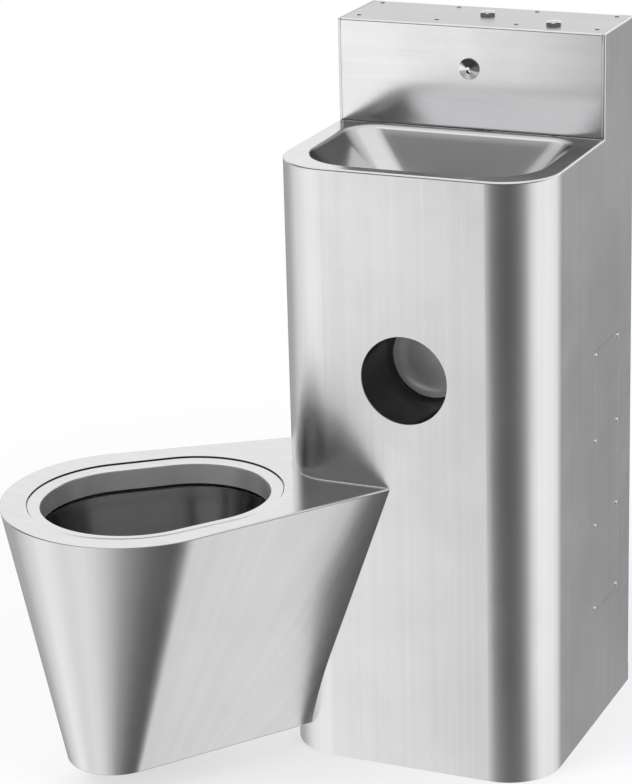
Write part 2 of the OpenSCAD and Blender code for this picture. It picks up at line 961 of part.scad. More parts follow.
// Spout: a shallow coned disc on the upstand, with the water hole below its centre
module spout_nozzle() {
    disc_h = nozzle_proud - nozzle_cone;
    color("white")
        translate([0, -upstand_d, nozzle_h])
            rotate([90, 0, 0])
                difference() {
                    union() {
                        cylinder(h = disc_h, r = nozzle_r);
                        translate([0, 0, disc_h])
                            cylinder(h = nozzle_cone, r1 = nozzle_r, r2 = nozzle_r * cone_share);
                        translate([0, 0, -sheet_t - shank_l])
                            cylinder(h = sheet_t + shank_l, r = shank_r);
                    }
                    translate([0, -jet_low, 0])
                        rotate([jet_tilt, 0, 0])
                            translate([0, 0, -jet_deep])
                                cylinder(h = jet_deep + over + nozzle_proud, r = jet_r);
                    translate([0, 0, -sheet_t - shank_l - over])
                        cylinder(h = shank_l + over, r = shank_bore);
                }
}

module spout_locknut() {
    color("goldenrod")
        translate([0, -upstand_d + sheet_t + seat, nozzle_h])
            rotate([-90, 0, 0])
                difference() {
                    hex(shank_af, nut_h);
                    translate([0, 0, -over])
                        cylinder(h = nut_h + 2 * over, r = shank_r + seat);
                }
}

// Elbow that takes the spout's shank from the front and the riser from below
module spout_elbow() {
    reach = elbow_r + socket_l;
    color("darkgoldenrod")
        translate([0, -riser_y, nozzle_h])
            difference() {
                union() {
                    translate([0, 0, -reach])
                        cylinder(h = reach + elbow_r, r = elbow_r);
                    rotate([90, 0, 0])
                        cylinder(h = reach, r = shank_r + elbow_wall);
                }
                rotate([90, 0, 0])
                    translate([0, 0, elbow_r])
                        cylinder(h = socket_l + over, r = shank_r + seat);
                rotate([90, 0, 0])
                    cylinder(h = reach, r = shank_bore);
                translate([0, 0, -reach - over])
                    cylinder(h = socket_l + over, r = riser_r + seat);
                translate([0, 0, -reach])
                    cylinder(h = reach, r = riser_r - pipe_t);
            }
}

// Copper riser from the basin's valve to the spout
module spout_riser() {
    color("peru")
        translate([0, -riser_y, 0])
            pipe(riser_r, pipe_t, valve_z + basin_valve_h - socket_l + seat, nozzle_h - elbow_r - seat);
}

// Places of the two push-buttons, on top of the cover
module at_basin_button() {
    translate([0, -basin_button_y, body_h])
        children();
}

module at_flush_button() {
    translate([flush_x, -flush_y, body_h])
        children();
}

module at_buttons() {
    at_basin_button()
        children();
    at_flush_button()
        children();
}

// Fixed part of a push-button: a chamfered six-sided head on a threaded barrel
module push_bezel() {
    difference() {
        union() {
            intersection() {
                rotate([0, 0, bezel_turn - 90])
                    hex(bezel_af, bezel_h);
                cylinder(h = bezel_h, r1 = bezel_af / 2 + bezel_h * chamfer_share, r2 = bezel_af / 2);
            }
            translate([0, 0, -barrel_l])
                cylinder(h = barrel_l, r = barrel_r);
        }
        translate([0, 0, -barrel_l - over])
            cylinder(h = barrel_l + bezel_h - bezel_lip + over, r = barrel_bore);
        translate([0, 0, -over])
            cylinder(h = bezel_h + 2 * over, r = button_r + slide);
    }
}

// Moving part: the crown with its dimple, the flange that stops under the bezel, and the stem
module push_button() {
    stop = bezel_h - bezel_lip - slide;
    crown = bezel_h + button_proud;
    difference() {
        union() {
            translate([0, 0, stop - flange_h])
                cylinder(h = flange_h, r = flange_r);
            translate([0, 0, stop])
                cylinder(h = crown - stop - crown_dome, r = button_r);
            translate([0, 0, crown - crown_dome])
                cylinder(h = crown_dome, r1 = button_r, r2 = button_r * dome_share);
            translate([0, 0, travel + slide - barrel_l])
                cylinder(h = barrel_l - travel - slide + stop - flange_h, r = stem_r);
        }
        translate([0, 0, crown])
            sphere(dimple_r);
    }
}

// Compression spring as a swept wire, standing on z = 0
module coil_spring(r, wire, height, turns) {
    steps = 16 * turns;
    sides = 8;
    rise = height - 2 * wire;
    points = [
        for (i = [0:steps], j = [0:sides - 1])
            let (a = 360 * turns * i / steps, b = 360 * j / sides, q = r + wire * cos(b))
                [q * cos(a), q * sin(a), wire + rise * i / steps + wire * sin(b)]
    ];
    around = [
        for (i = [0:steps - 1], j = [0:sides - 1])
            let (k = (j + 1) % sides)
                [i * sides + j, i * sides + k, (i + 1) * sides + k, (i + 1) * sides + j]
    ];
    ends = [[for (j = [0:sides - 1]) sides - 1 - j], [for (j = [0:sides - 1]) steps * sides + j]];
    polyhedron(points, concat(around, ends));
}

module push_spring() {
    room = barrel_l + bezel_h - bezel_lip - slide - flange_h;
    translate([0, 0, -barrel_l])
        coil_spring((stem_r + barrel_bore) / 2, spring_wire, room - seat, spring_turns);
}

module push_nut() {
    translate([0, 0, -sheet_t - seat - nut_h])
        difference() {
            hex(nut_af, nut_h);
            translate([0, 0, -over])
                cylinder(h = nut_h + 2 * over, r = barrel_r + seat);
        }
}

// Air capsule under a push-button, with a rolled seam and a barb for the tube
module air_capsule() {
    translate([0, 0, -barrel_l - seat - capsule_h]) {
        cylinder(h = capsule_h, r = capsule_r);
        translate([0, 0, capsule_h / 2])
            cylinder(h = frame_t, r = capsule_r + frame_t);
        translate([0, 0, -barb_l])
            cylinder(h = barb_l, r = tube_r - pipe_t - seat);
    }
}

// Air tube from a push-button at p down to the port in the side of the valve at v
module air_tube(p, v, valve_r, port_z) {
    reach = norm(v - p) - valve_r - seat;
    translate([p[0], p[1], 0])
        rotate([0, 0, atan2(v[1] - p[1], v[0] - p[0])]) {
            pipe(tube_r, pipe_t, port_z + tube_bend, body_h - barrel_l - capsule_h - 2 * seat);
            translate([tube_bend, 0, port_z + tube_bend])
                rotate([90, 0, 0])
                    rotate([0, 0, 180])
                        bend(tube_r, pipe_t, tube_bend, 90);
            translate([0, 0, port_z])
                rotate([0, 90, 0])
                    pipe(tube_r, pipe_t, tube_bend, reach);
        }
}

module basin_button_bezel() {
    color("white")
        at_basin_button()
            push_bezel();
}

module basin_button() {
    color("gainsboro")
        at_basin_button()
            push_button();
}

module basin_button_spring() {
    color("dimgray")
        at_basin_button()
            push_spring();
}

module basin_button_nut() {
    color("goldenrod")
        at_basin_button()
            push_nut();
}

module basin_air_capsule() {
    color("darkslategray")
        at_basin_button()
            air_capsule();
}

module basin_air_tube() {
    color("slategray")
        air_tube([0, -basin_button_y], [0, -riser_y], basin_valve_r, basin_port_z);
}

module flush_button_bezel() {
    color("white")
        at_flush_button()
            push_bezel();
}

module flush_button() {
    color("gainsboro")
        at_flush_button()
            push_button();
}

module flush_button_spring() {
    color("dimgray")
        at_flush_button()
            push_spring();
}

module flush_button_nut() {
    color("goldenrod")
        at_flush_button()
            push_nut();
}

module flush_air_capsule() {
    color("darkslategray")
        at_flush_button()
            air_capsule();
}

module flush_air_tube() {
    color("slategray")
        air_tube([flush_x, -flush_y], [flush_turn_x, -flush_turn_y], flush_valve_r, flush_port_z);
}

// Rail across the back of the cabinet, cranked forward off the wall flanges, for the two inlets
module valve_rail() {
    foot_x = side_x - flange_w - seat;
    end_x = side_x - sheet_t - seat;
    color("silver")
        translate([0, 0, inlet_h - rail_h / 2])
            difference() {
                union() {
                    translate([-foot_x, -rail_y - frame_t, 0])
                        cube([2 * foot_x, frame_t, rail_h]);
                    for (s = [-1, 1]) {
                        translate([s > 0 ? foot_x - frame_t : -foot_x, -rail_y - frame_t, 0])
                            cube([frame_t, rail_y + frame_t - sheet_t - seat, rail_h]);
                        translate([s > 0 ? foot_x - frame_t : -end_x, -sheet_t - seat - frame_t, 0])
                            cube([end_x - foot_x + frame_t, frame_t, rail_h]);
                    }
                }
                for (p = [[0, basin_inlet_r], [flush_turn_x, flush_inlet_r]])
                    translate([p[0], 0, rail_h / 2])
                        rotate([90, 0, 0])
                            cylinder(h = rail_y + frame_t + over, r = p[1] + seat);
            }
}

// Air-controlled valve on its own axis: body, clamp ring, cap, inlet boss to the wall and air barb
module valve(r, h, inlet_r, barb_turn) {
    translate([0, 0, valve_z]) {
        cylinder(h = h, r = r);
        translate([0, 0, h * clamp_share])
            cylinder(h = clamp_h, r = r + frame_t);
        translate([0, 0, valve_under])
            rotate([-90, 0, 0])
                cylinder(h = r + boss_l, r = inlet_r + boss_wall);
        translate([0, 0, h - port_drop])
            rotate([0, 90, barb_turn])
                cylinder(h = r + port_l, r = tube_r - pipe_t - seat);
    }
}

// Room for an inlet's end in a valve's boss
module inlet_socket(r, inlet_r) {
    translate([0, r + boss_l - socket_l, inlet_h])
        rotate([-90, 0, 0])
            cylinder(h = socket_l + over, r = inlet_r + seat);
}

module basin_valve() {
    color("rosybrown")
        translate([0, -riser_y, 0])
            difference() {
                valve(basin_valve_r, basin_valve_h, basin_inlet_r, 90);
                inlet_socket(basin_valve_r, basin_inlet_r);
                translate([0, 0, valve_z + basin_valve_h - socket_l])
                    cylinder(h = socket_l + over, r = riser_r + seat);
            }
}

module flush_valve() {
    color("rosybrown")
        translate([flush_turn_x, -flush_turn_y, 0])
            difference() {
                valve(flush_valve_r, flush_valve_h, flush_inlet_r,
                      atan2(flush_turn_y - flush_y, flush_x - flush_turn_x));
                inlet_socket(flush_valve_r, flush_inlet_r);
                translate([0, 0, valve_z - over])
                    cylinder(h = socket_l + over, r = flush_r + seat);
            }
}

// Inlet nipple: a tube from the wall to a valve's boss, with a six-sided collar behind the rail
module nipple(x, r, valve_y, valve_r) {
    color("goldenrod")
        translate([x, 0, inlet_h])
            rotate([90, 0, 0])
                difference() {
                    union() {
                        translate([0, 0, pipe_end])
                            cylinder(h = valve_y - valve_r - boss_l + socket_l - seat - pipe_end, r = r);
                        translate([0, 0, rail_y - seat - nut_h])
                            hex(2 * r + collar_add, nut_h);
                    }
                    cylinder(h = valve_y, r = r - nipple_t);
                }
}

module basin_inlet() {
    nipple(0, basin_inlet_r, riser_y, basin_valve_r);
}

module flush_inlet() {
    nipple(flush_turn_x, flush_inlet_r, flush_turn_y, flush_valve_r);
}

// Locknuts in front of the rail, one on each inlet
module inlet_locknuts() {
    color("goldenrod")
        for (p = [[0, basin_inlet_r], [flush_turn_x, flush_inlet_r]])
            translate([p[0], -rail_y - frame_t - seat, inlet_h])
                rotate([90, 0, 0])
                    difference() {
                        hex(2 * p[1] + collar_add, locknut_h);
                        translate([0, 0, -over])
                            cylinder(h = locknut_h + 2 * over, r = p[1] + seat);
                    }
}

// Flush pipe: down from its valve, round a bend, and along the diagonal into the rim
module flush_pipe() {
    run = flush_turn_a - flush_bend;
    color("peru")
        at_pan() {
            translate([-flush_turn_a, 0, 0])
                pipe(flush_r, pipe_t, flush_z + flush_bend, valve_z + socket_l - seat);
            translate([-run, 0, flush_z + flush_bend])
                rotate([90, 0, 0])
                    rotate([0, 0, 180])
                        bend(flush_r, pipe_t, flush_bend, 90);
            translate([0, 0, flush_z])
                rotate([0, -90, 0])
                    pipe(flush_r, pipe_t, flush_in, run);
        }
}

// Rubber grommet where the flush pipe enters the rim
module flush_seal() {
    wall_a = seat_heel_a - seat_heel_r - rim_off;
    color("darkslategray")
        at_pan()
            translate([wall_a, 0, flush_z])
                rotate([0, -90, 0])
                    difference() {
                        union() {
                            cylinder(h = sheet_t + seat + grommet_h, r = flush_r + seal_neck - seat);
                            translate([0, 0, sheet_t + seat])
                                cylinder(h = grommet_h, r = flush_r + grommet_w);
                        }
                        translate([0, 0, -over])
                            cylinder(h = sheet_t + grommet_h + 2 * over, r = flush_r + seat);
                    }
}

// Waste of the basin, on its own axis
module at_drain(z) {
    translate([0, -drain_y, z])
        children();
}

// Strainer in the bowl: a flanged disc with two rings of holes and one for the screw
module waste_grid() {
    color("white")
        at_drain(bowl_floor + seat)
            difference() {
                union() {
                    cylinder(h = grid_t / 2, r = grid_r);
                    translate([0, 0, grid_t / 2])
                        cylinder(h = grid_t / 2, r1 = grid_r, r2 = grid_r - grid_t);
                }
                translate([0, 0, -over])
                    cylinder(h = grid_t + 2 * over, r = screw_r + screw_clear);
                for (ring = [1, 2], k = [1:6 * ring])
                    rotate([0, 0, 60 / ring * k])
                        translate([grid_ring * ring, 0, -over])
                            cylinder(h = grid_t + 2 * over, r = grid_hole_r);
            }
}

module waste_screw() {
    color("lightgray")
        at_drain(bowl_floor + grid_t + 2 * seat)
            difference() {
                union() {
                    cylinder(h = screw_head_h, r1 = screw_head_r, r2 = screw_head_r * screw_head_share);
                    translate([0, 0, -waste_screw_l])
                        cylinder(h = waste_screw_l, r = screw_r);
                }
                translate([0, 0, screw_head_h / 2])
                    cylinder(h = over, r = screw_key_r, $fn = 6);
            }
}

// Rubber washer between the bowl's underside and the waste's body
module waste_seal() {
    color("darkslategray")
        at_drain(bowl_floor - floor_t - seal_t)
            difference() {
                cylinder(h = seal_t - seat, r = waste_flange_r);
                translate([0, 0, -over])
                    cylinder(h = seal_t + 2 * over, r = drain_r);
            }
}

// Body of the waste: a flanged cup with a bridge for the screw, and the tail
module waste_body() {
    color("gainsboro")
        at_drain(bowl_floor - floor_t - seal_t - seat)
            difference() {
                union() {
                    translate([0, 0, -frame_t])
                        cylinder(h = frame_t, r = waste_flange_r);
                    translate([0, 0, -cup_l])
                        cylinder(h = cup_l, r1 = tail_r, r2 = drain_r + frame_t);
                    translate([0, 0, -cup_l - tail_l])
                        cylinder(h = tail_l, r = tail_r);
                }
                difference() {
                    translate([0, 0, -cup_l])
                        cylinder(h = cup_l + over, r1 = tail_r - frame_t, r2 = drain_r + frame_t);
                    translate([-bridge_w / 2, -drain_r - over, -cup_l + frame_t])
                        cube([bridge_w, 2 * (drain_r + over), cup_l / 2]);
                }
                translate([0, 0, -cup_l - tail_l - over])
                    cylinder(h = tail_l + over, r = tail_r - frame_t);
                translate([0, 0, -cup_l])
                    cylinder(h = cup_l + over, r = screw_r + screw_clear);
            }
}

// Slip nut that holds the trap on the waste's tail
module waste_nut() {
    color("white")
        at_drain(waste_top - slip_h + frame_t)
            difference() {
                hex(2 * waste_r + collar_add, slip_h);
                translate([0, 0, -over])
                    cylinder(h = slip_h - frame_t + over, r = waste_r + seat);
                translate([0, 0, -over])
                    cylinder(h = slip_h + 2 * over, r = tail_r + seat);
            }
}

// Trap of the basin: a U-bend across the cabinet and an elbow towards the wall
module basin_trap() {
    arm = waste_x / 2;
    color("ghostwhite")
        translate([0, -drain_y, 0]) {
            pipe(waste_r, trap_t, waste_u, waste_top);
            translate([-arm, 0, waste_u])
                rotate([90, 0, 0])
                    rotate([0, 0, 180])
                        bend(waste_r, trap_t, arm, 180);
            translate([-waste_x, 0, 0])
                pipe(waste_r, trap_t, waste_u, waste_z - elbow_bend);
            translate([-waste_x, elbow_bend, waste_z - elbow_bend])
                rotate([90, 0, 90])
                    rotate([0, 0, 90])
                        bend(waste_r, trap_t, elbow_bend, 90);
            translate([-waste_x, elbow_bend, waste_z])
                rotate([-90, 0, 0])
                    pipe(waste_r, trap_t, 0, trap_tail);
        }
}

// Pipe from the trap to the wall, belled over the trap's outlet
module basin_waste_pipe() {
    start = drain_y - elbow_bend - trap_tail + socket_l;
    color("ghostwhite")
        translate([-waste_x, 0, waste_z])
            rotate([90, 0, 0])
                difference() {
                    union() {
                        translate([0, 0, pipe_end])
                            cylinder(h = start - pipe_end, r = waste_r);
                        translate([0, 0, start - 2 * socket_l])
                            cylinder(h = 2 * socket_l, r = waste_r + trap_t + seat);
                    }
                    cylinder(h = start + over, r = waste_r - trap_t);
                    translate([0, 0, start - socket_l - seat])
                        cylinder(h = socket_l + over, r = waste_r + seat);
                }
}

body_shell();
base_frame();
basin();
upstand_cover();
cover_rails();
cover_screws();
access_panel();
access_panel_frame();
access_panel_screws();
roll_recess();
toilet_deck();
toilet_skirt();
flush_rim();
toilet_bowl();
toilet_trap();
soil_elbow();
soil_pipe();
soil_seal();
spout_nozzle();
spout_locknut();
spout_elbow();
spout_riser();
basin_button_bezel();
basin_button();
basin_button_spring();
basin_button_nut();
basin_air_capsule();
basin_air_tube();
flush_button_bezel();
flush_button();
flush_button_spring();
flush_button_nut();
flush_air_capsule();
flush_air_tube();
valve_rail();
basin_valve();
flush_valve();
basin_inlet();
flush_inlet();
inlet_locknuts();
flush_pipe();
flush_seal();
waste_grid();
waste_screw();
waste_seal();
waste_body();
waste_nut();
basin_trap();
basin_waste_pipe();
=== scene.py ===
"""Looks of the toilet and basin combination unit, built round its CAD frame. Lengths are in metres."""

import math

import bmesh
import bpy
from mathutils import Matrix, Vector
from mathutils.geometry import tessellate_polygon


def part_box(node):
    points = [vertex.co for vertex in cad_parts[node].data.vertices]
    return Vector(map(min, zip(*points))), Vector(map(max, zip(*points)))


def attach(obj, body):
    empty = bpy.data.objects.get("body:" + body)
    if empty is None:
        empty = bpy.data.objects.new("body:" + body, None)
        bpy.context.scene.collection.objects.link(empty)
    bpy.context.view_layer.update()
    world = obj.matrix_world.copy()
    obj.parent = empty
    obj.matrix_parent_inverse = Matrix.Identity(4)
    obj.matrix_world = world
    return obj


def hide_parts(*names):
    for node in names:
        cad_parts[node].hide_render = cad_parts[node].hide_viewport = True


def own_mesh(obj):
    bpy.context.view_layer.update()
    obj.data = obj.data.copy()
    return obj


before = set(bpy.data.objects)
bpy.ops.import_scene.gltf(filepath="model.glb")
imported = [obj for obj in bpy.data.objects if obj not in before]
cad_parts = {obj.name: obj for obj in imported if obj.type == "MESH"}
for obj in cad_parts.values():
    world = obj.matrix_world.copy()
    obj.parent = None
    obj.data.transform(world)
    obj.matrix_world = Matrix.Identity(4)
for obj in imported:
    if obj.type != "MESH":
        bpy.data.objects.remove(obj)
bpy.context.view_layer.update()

bl_info = {
    "name": "Toilet and basin combination unit",
    "version": (1, 0, 0),
    "blender": (4, 5, 0),
    "location": "View3D > Sidebar > Combination unit",
    "description": "Builds the visible pieces of a stainless steel toilet and basin unit on its CAD frame",
    "category": "Add Mesh",
}

MM = 0.001
UNIT = "unit"
SHELL_LOW, SHELL_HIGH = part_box("body_shell")
PAN_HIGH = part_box("toilet_deck")[1]
PANEL_LOW, PANEL_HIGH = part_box("access_panel")
CUP_LOW, CUP_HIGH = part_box("roll_recess")
CUP_Z = (CUP_LOW.z + CUP_HIGH.z) / 2
SPOUT_LOW, SPOUT_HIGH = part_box("spout_nozzle")
SUPPORT = 1.5 * MM  # distance of a support row from its bend
PAN_GAP = 0.0009  # how far the pan's sheets reach into the cabinet's outline
SCREW_HEAD = 3.5 * MM  # radius of the screws' heads
DOUBLES, NO_LENGTH = 0.000004, 0.000002  # points closer than the first are one, edges shorter than the second are none


# Properties


def length(name, description, default):
    """A length in metres."""
    return bpy.props.FloatProperty(
        name=name, description=description, default=default, min=0.0, precision=5, subtype="DISTANCE", unit="LENGTH"
    )


def colour(name, description, default):
    """A linear colour."""
    return bpy.props.FloatVectorProperty(
        name=name, description=description, default=default, min=0.0, max=1.0, size=3, subtype="COLOR"
    )


def turn(name, description, degrees):
    """An angle, given in degrees."""
    return bpy.props.FloatProperty(
        name=name, description=description, default=math.radians(degrees), subtype="ANGLE", unit="ROTATION"
    )


class UnitCabinet(bpy.types.PropertyGroup):
    """Sizes of the cabinet, its upstand and its plates."""

    width: length("Width", "Width of the cabinet", SHELL_HIGH.x - SHELL_LOW.x)
    depth: length("Depth", "Depth of the cabinet from the wall", SHELL_HIGH.y - SHELL_LOW.y)
    height: length("Height", "Height of the upstand's top", SHELL_HIGH.z)
    deck: length("Deck", "Height of the basin's deck", 0.855)
    upstand: length("Upstand", "Depth of the upstand", 0.127)
    corner: length("Corner", "Radius of the front corners", 0.078)
    sheet: length("Sheet", "Thickness of the sheet", 0.0015)
    rim: length("Rim", "Radius of the deck's outer edge", 0.003)
    fold: length("Fold", "Outer radius of the folds along the upstand", 0.002)
    lip: length("Lip", "Width of the folded lips", 0.004)
    flange: length("Flange", "Width of the wall flanges", 0.020)
    flange_low: length("Flange start", "Height at which the wall flanges start", 0.027)
    gap: length("Gap", "Gap round the plates", 0.0006)
    cup: length("Roll recess", "Radius of the roll recess", 0.0615)
    cup_fillet: length("Recess fillet", "Radius between the recess's wall and back", 0.024)
    edge: length("Edge", "Rounding of the cut edges", 0.00035)
    cover_bend: length("Cover bend", "Radius of the cover's front fold", 0.003)


class UnitBasin(bpy.types.PropertyGroup):
    """Sizes of the basin."""

    width: length("Width", "Width of the opening", 0.324)
    front: length("Front margin", "Deck in front of the opening", 0.0235)
    back: length("Rear margin", "Deck behind the opening", 0.020)
    front_radius: length("Front radius", "Radius of the opening's front corners", 0.076)
    back_radius: length("Rear radius", "Radius of the opening's rear corners", 0.039)
    lip: length("Lip", "Radius of the rolled lip", 0.0085)
    mid_depth: length("Middle depth", "Depth of the middle section", 0.082)
    floor_depth: length("Depth", "Depth of the floor", 0.138)
    drain: length("Drain", "Distance of the drain from the wall", 0.225)
    drain_radius: length("Drain radius", "Radius of the drain's hole", 0.023)
    floor_radius: length("Floor radius", "Radius of the floor", 0.040)


class UnitPan(bpy.types.PropertyGroup):
    """Sizes of the toilet pan, along its axis from the cabinet's corner."""

    height: length("Height", "Height of the pan's deck", PAN_HIGH.z)
    nose: length("Nose", "Centre of the deck's nose", 0.206)
    nose_radius: length("Nose radius", "Radius of the deck's nose", 0.179)
    heel: length("Heel", "Centre of the heel behind the corner", 0.105)
    heel_radius: length("Heel radius", "Radius of the heel", 0.123)
    foot_height: length("Foot height", "Height of the lower edge", 0.039)
    foot: length("Foot", "Centre of the lower edge's nose", 0.2445)
    foot_radius: length("Foot radius", "Radius of the lower edge's nose", 0.069)
    foot_heel_radius: length("Foot heel radius", "Radius of the lower edge's heel", 0.011)
    foot_lip: length("Foot lip", "Width of the lip along the lower edge", 0.012)
    seat_nose_radius: length("Opening nose", "Radius of the opening's front end", 0.124)
    seat_heel: length("Opening heel", "Centre of the opening's rear end", 0.126)
    seat_heel_radius: length("Opening heel radius", "Radius of the opening's rear end", 0.113)
    rim: length("Rim", "Radius of the deck's outer edge", 0.0025)


class UnitStage(bpy.types.PropertyGroup):
    """Camera and studio."""

    lens: bpy.props.FloatProperty(
        name="Lens", description="Focal length on a 36 mm sensor", default=131.896, unit="CAMERA"
    )
    shift: bpy.props.FloatProperty(name="Shift", description="Vertical shift of the lens", default=-0.03827)
    azimuth: turn("Azimuth", "Angle of the camera to the right of the front", 23.977)
    elevation: turn("Elevation", "Angle of the camera above the horizon", 18.4665)
    roll: turn("Roll", "Roll of the camera", -1.5816)
    place: bpy.props.FloatVectorProperty(
        name="Place", description="Place of the camera", default=(1.3668, -3.7441, 1.8118), size=3,
        subtype="TRANSLATION", unit="LENGTH",
    )
    floor: colour("Floor", "Colour of the floor", (0.86, 0.86, 0.86))
    ambient: bpy.props.FloatProperty(
        name="Ambient", description="Strength of the world's light", default=0.62, min=0.0, max=1.0, subtype="FACTOR"
    )


class UnitFinish(bpy.types.PropertyGroup):
    """Colours of the finishes."""

    steel: colour("Steel", "Colour of the steel", (0.80, 0.795, 0.805))
    brass: colour("Brass", "Colour of the brass", (0.62, 0.44, 0.19))
    copper: colour("Copper", "Colour of the copper", (0.72, 0.36, 0.22))
    white: colour("White plastic", "Colour of the white plastic", (0.74, 0.74, 0.71))
    grey: colour("Grey plastic", "Colour of the grey plastic", (0.17, 0.175, 0.18))
    black: colour("Black plastic", "Colour of the black plastic", (0.018, 0.018, 0.02))
    rubber: colour("Rubber", "Colour of the rubber", (0.014, 0.014, 0.015))
    tube: colour("Air tube", "Colour of the air tubes", (0.24, 0.32, 0.42))


GROUPS = {
    "unit_cabinet": UnitCabinet,
    "unit_basin": UnitBasin,
    "unit_pan": UnitPan,
    "unit_stage": UnitStage,
    "unit_finish": UnitFinish,
}


# Node trees


class Tree:
    """Short calls for building a node tree."""

    def __init__(self, tree):
        self.tree = tree

    def add(self, kind, values=None, **settings):
        """A node of this kind, with settings as attributes and values by socket."""
        node = self.tree.nodes.new(kind)
        for key, value in settings.items():
            setattr(node, key, value)
        for key, value in (values or {}).items():
            self.feed(node.inputs[key], value)
        return node

    def feed(self, socket, value):
        """Links another socket, or sets a plain value."""
        if isinstance(value, bpy.types.NodeSocket):
            self.tree.links.new(value, socket)
        else:
            socket.default_value = value

    def math(self, operation, *values, clamp=False):
        """The result of a maths node."""
        return self.add("ShaderNodeMath", dict(enumerate(values)), operation=operation, use_clamp=clamp).outputs[0]

    def plus(self, start, value, factor):
        """start + value * factor."""
        return self.math("ADD", start, self.math("MULTIPLY", value, factor))

    def vector(self, operation, a, b):
        """The result of a vector maths node with two inputs."""
        return self.add("ShaderNodeVectorMath", {0: a, 1: b}, operation=operation).outputs[0]

    def parts(self, vector):
        """The X, Y and Z of a vector."""
        return self.add("ShaderNodeSeparateXYZ", {0: vector}).outputs

    def noise(self, vector, scale, detail, roughness=0.5):
        """The value of a noise texture."""
        values = {"Vector": vector, "Scale": scale, "Detail": detail, "Roughness": roughness}
        return self.add("ShaderNodeTexNoise", values).outputs["Fac"]

    def group(self, name, values):
        """The outputs of a shader node group with these values."""
        node = self.add("ShaderNodeGroup", node_tree=bpy.data.node_groups[name])
        for key, value in values.items():
            self.feed(node.inputs[key], value)
        return node.outputs

    def blend(self, factor, a, b, mode="MIX"):
        """The result of mixing two colours."""
        node = self.add("ShaderNodeMix", data_type="RGBA", blend_type=mode)
        for key, value in (("Factor", factor), (6, a), (7, b)):
            self.feed(node.inputs[key], value)
        return node.outputs[2]

    def toned(self, tint, tone):
        """A colour times a grey level."""
        grey = self.add("ShaderNodeCombineColor", {"Red": tone, "Green": tone, "Blue": tone}).outputs[0]
        return self.blend(1.0, (*tint, 1.0), grey, "MULTIPLY")

    def span(self, value, from_low, from_high, to_low, to_high):
        """A value carried smoothly from one range to another, and held at its ends."""
        values = {"Value": value, "From Min": from_low, "From Max": from_high, "To Min": to_low, "To Max": to_high}
        return self.add("ShaderNodeMapRange", values, interpolation_type="SMOOTHSTEP").outputs["Result"]

    def either(self, factor, a, b):
        """One shader or the other."""
        return self.add("ShaderNodeMixShader", {0: factor, 1: a.outputs[0], 2: b.outputs[0]})

    def seen(self):
        """1 for rays of the camera and those that a surface mirrors or lets through."""
        path = self.add("ShaderNodeLightPath").outputs
        seen = self.math("MAXIMUM", path["Is Camera Ray"], path["Is Glossy Ray"])
        return self.math("MAXIMUM", seen, path["Is Transmission Ray"])


def add_inputs(group, inputs):
    """Named input sockets: the kind follows the default, and None is a vector without one."""
    for label, default in inputs.items():
        kind = {int: "Int", float: "Float"}.get(type(default), "Vector")
        socket = group.interface.new_socket(label, in_out="INPUT", socket_type="NodeSocket" + kind)
        if default is not None:
            socket.default_value = default


def shader_group(name, inputs, outputs):
    """A shader node group with named sockets, as (builder, sockets given, sockets put out)."""
    group = bpy.data.node_groups.new(name, "ShaderNodeTree")
    add_inputs(group, inputs)
    for label in outputs:
        group.interface.new_socket(label, in_out="OUTPUT", socket_type="NodeSocketFloat")
    tree = Tree(group)
    return tree, tree.add("NodeGroupInput").outputs, tree.add("NodeGroupOutput").inputs


def grain_group():
    """Fine parallel lines left by a brushing belt, and broader streaks."""
    inputs = {"Vector": None, "Stretch": (1.0, 1.0, 0.02), "Lines": 900.0, "Streaks": 90.0}
    tree, given, out = shader_group("Brushed grain", inputs, ("Height", "Streak"))
    lay = tree.vector("MULTIPLY", given["Vector"], given["Stretch"])
    tree.feed(out["Height"], tree.noise(lay, given["Lines"], 2.0, 0.6))
    tree.feed(out["Streak"], tree.noise(lay, given["Streaks"], 3.0, 0.55))


def handling_group():
    """Slow clouds of wiping and touching, and sparse fine scratches."""
    inputs = {"Vector": None, "Clouds": 7.0, "Scratches": 60.0}
    tree, given, out = shader_group("Handling marks", inputs, ("Cloud", "Scratch"))
    cloud = tree.noise(given["Vector"], given["Clouds"], 4.0, 0.6)
    tree.feed(out["Cloud"], tree.span(cloud, 0.35, 0.68, 0.0, 1.0))
    values = {"Vector": given["Vector"], "Rotation": (0.5, 0.9, 0.3), "Scale": (1.0, 0.06, 1.0)}
    scratch = tree.noise(tree.add("ShaderNodeMapping", values).outputs[0], given["Scratches"], 1.0)
    tree.feed(out["Scratch"], tree.span(scratch, 0.70, 0.76, 0.0, 1.0))


# Finishes


def new_material(name):
    """An empty material, its tree, and its coordinates."""
    material = bpy.data.materials.new(name)
    material.use_nodes = True
    material.node_tree.nodes.clear()
    tree = Tree(material.node_tree)
    return material, tree, tree.add("ShaderNodeTexCoord").outputs["Object"]


def close_material(tree, shader):
    """Links a shader to the material's output."""
    tree.add("ShaderNodeOutputMaterial", {"Surface": shader.outputs[0]})


def surface(tree, base, metallic, roughness, height, strength, distance):
    """Closes a material with a principled surface and its relief."""
    relief = tree.add("ShaderNodeBump", {"Strength": strength, "Distance": distance, "Height": height})
    values = {"Base Color": base, "Metallic": metallic, "Roughness": roughness, "Normal": relief.outputs[0]}
    close_material(tree, tree.add("ShaderNodeBsdfPrincipled", values))


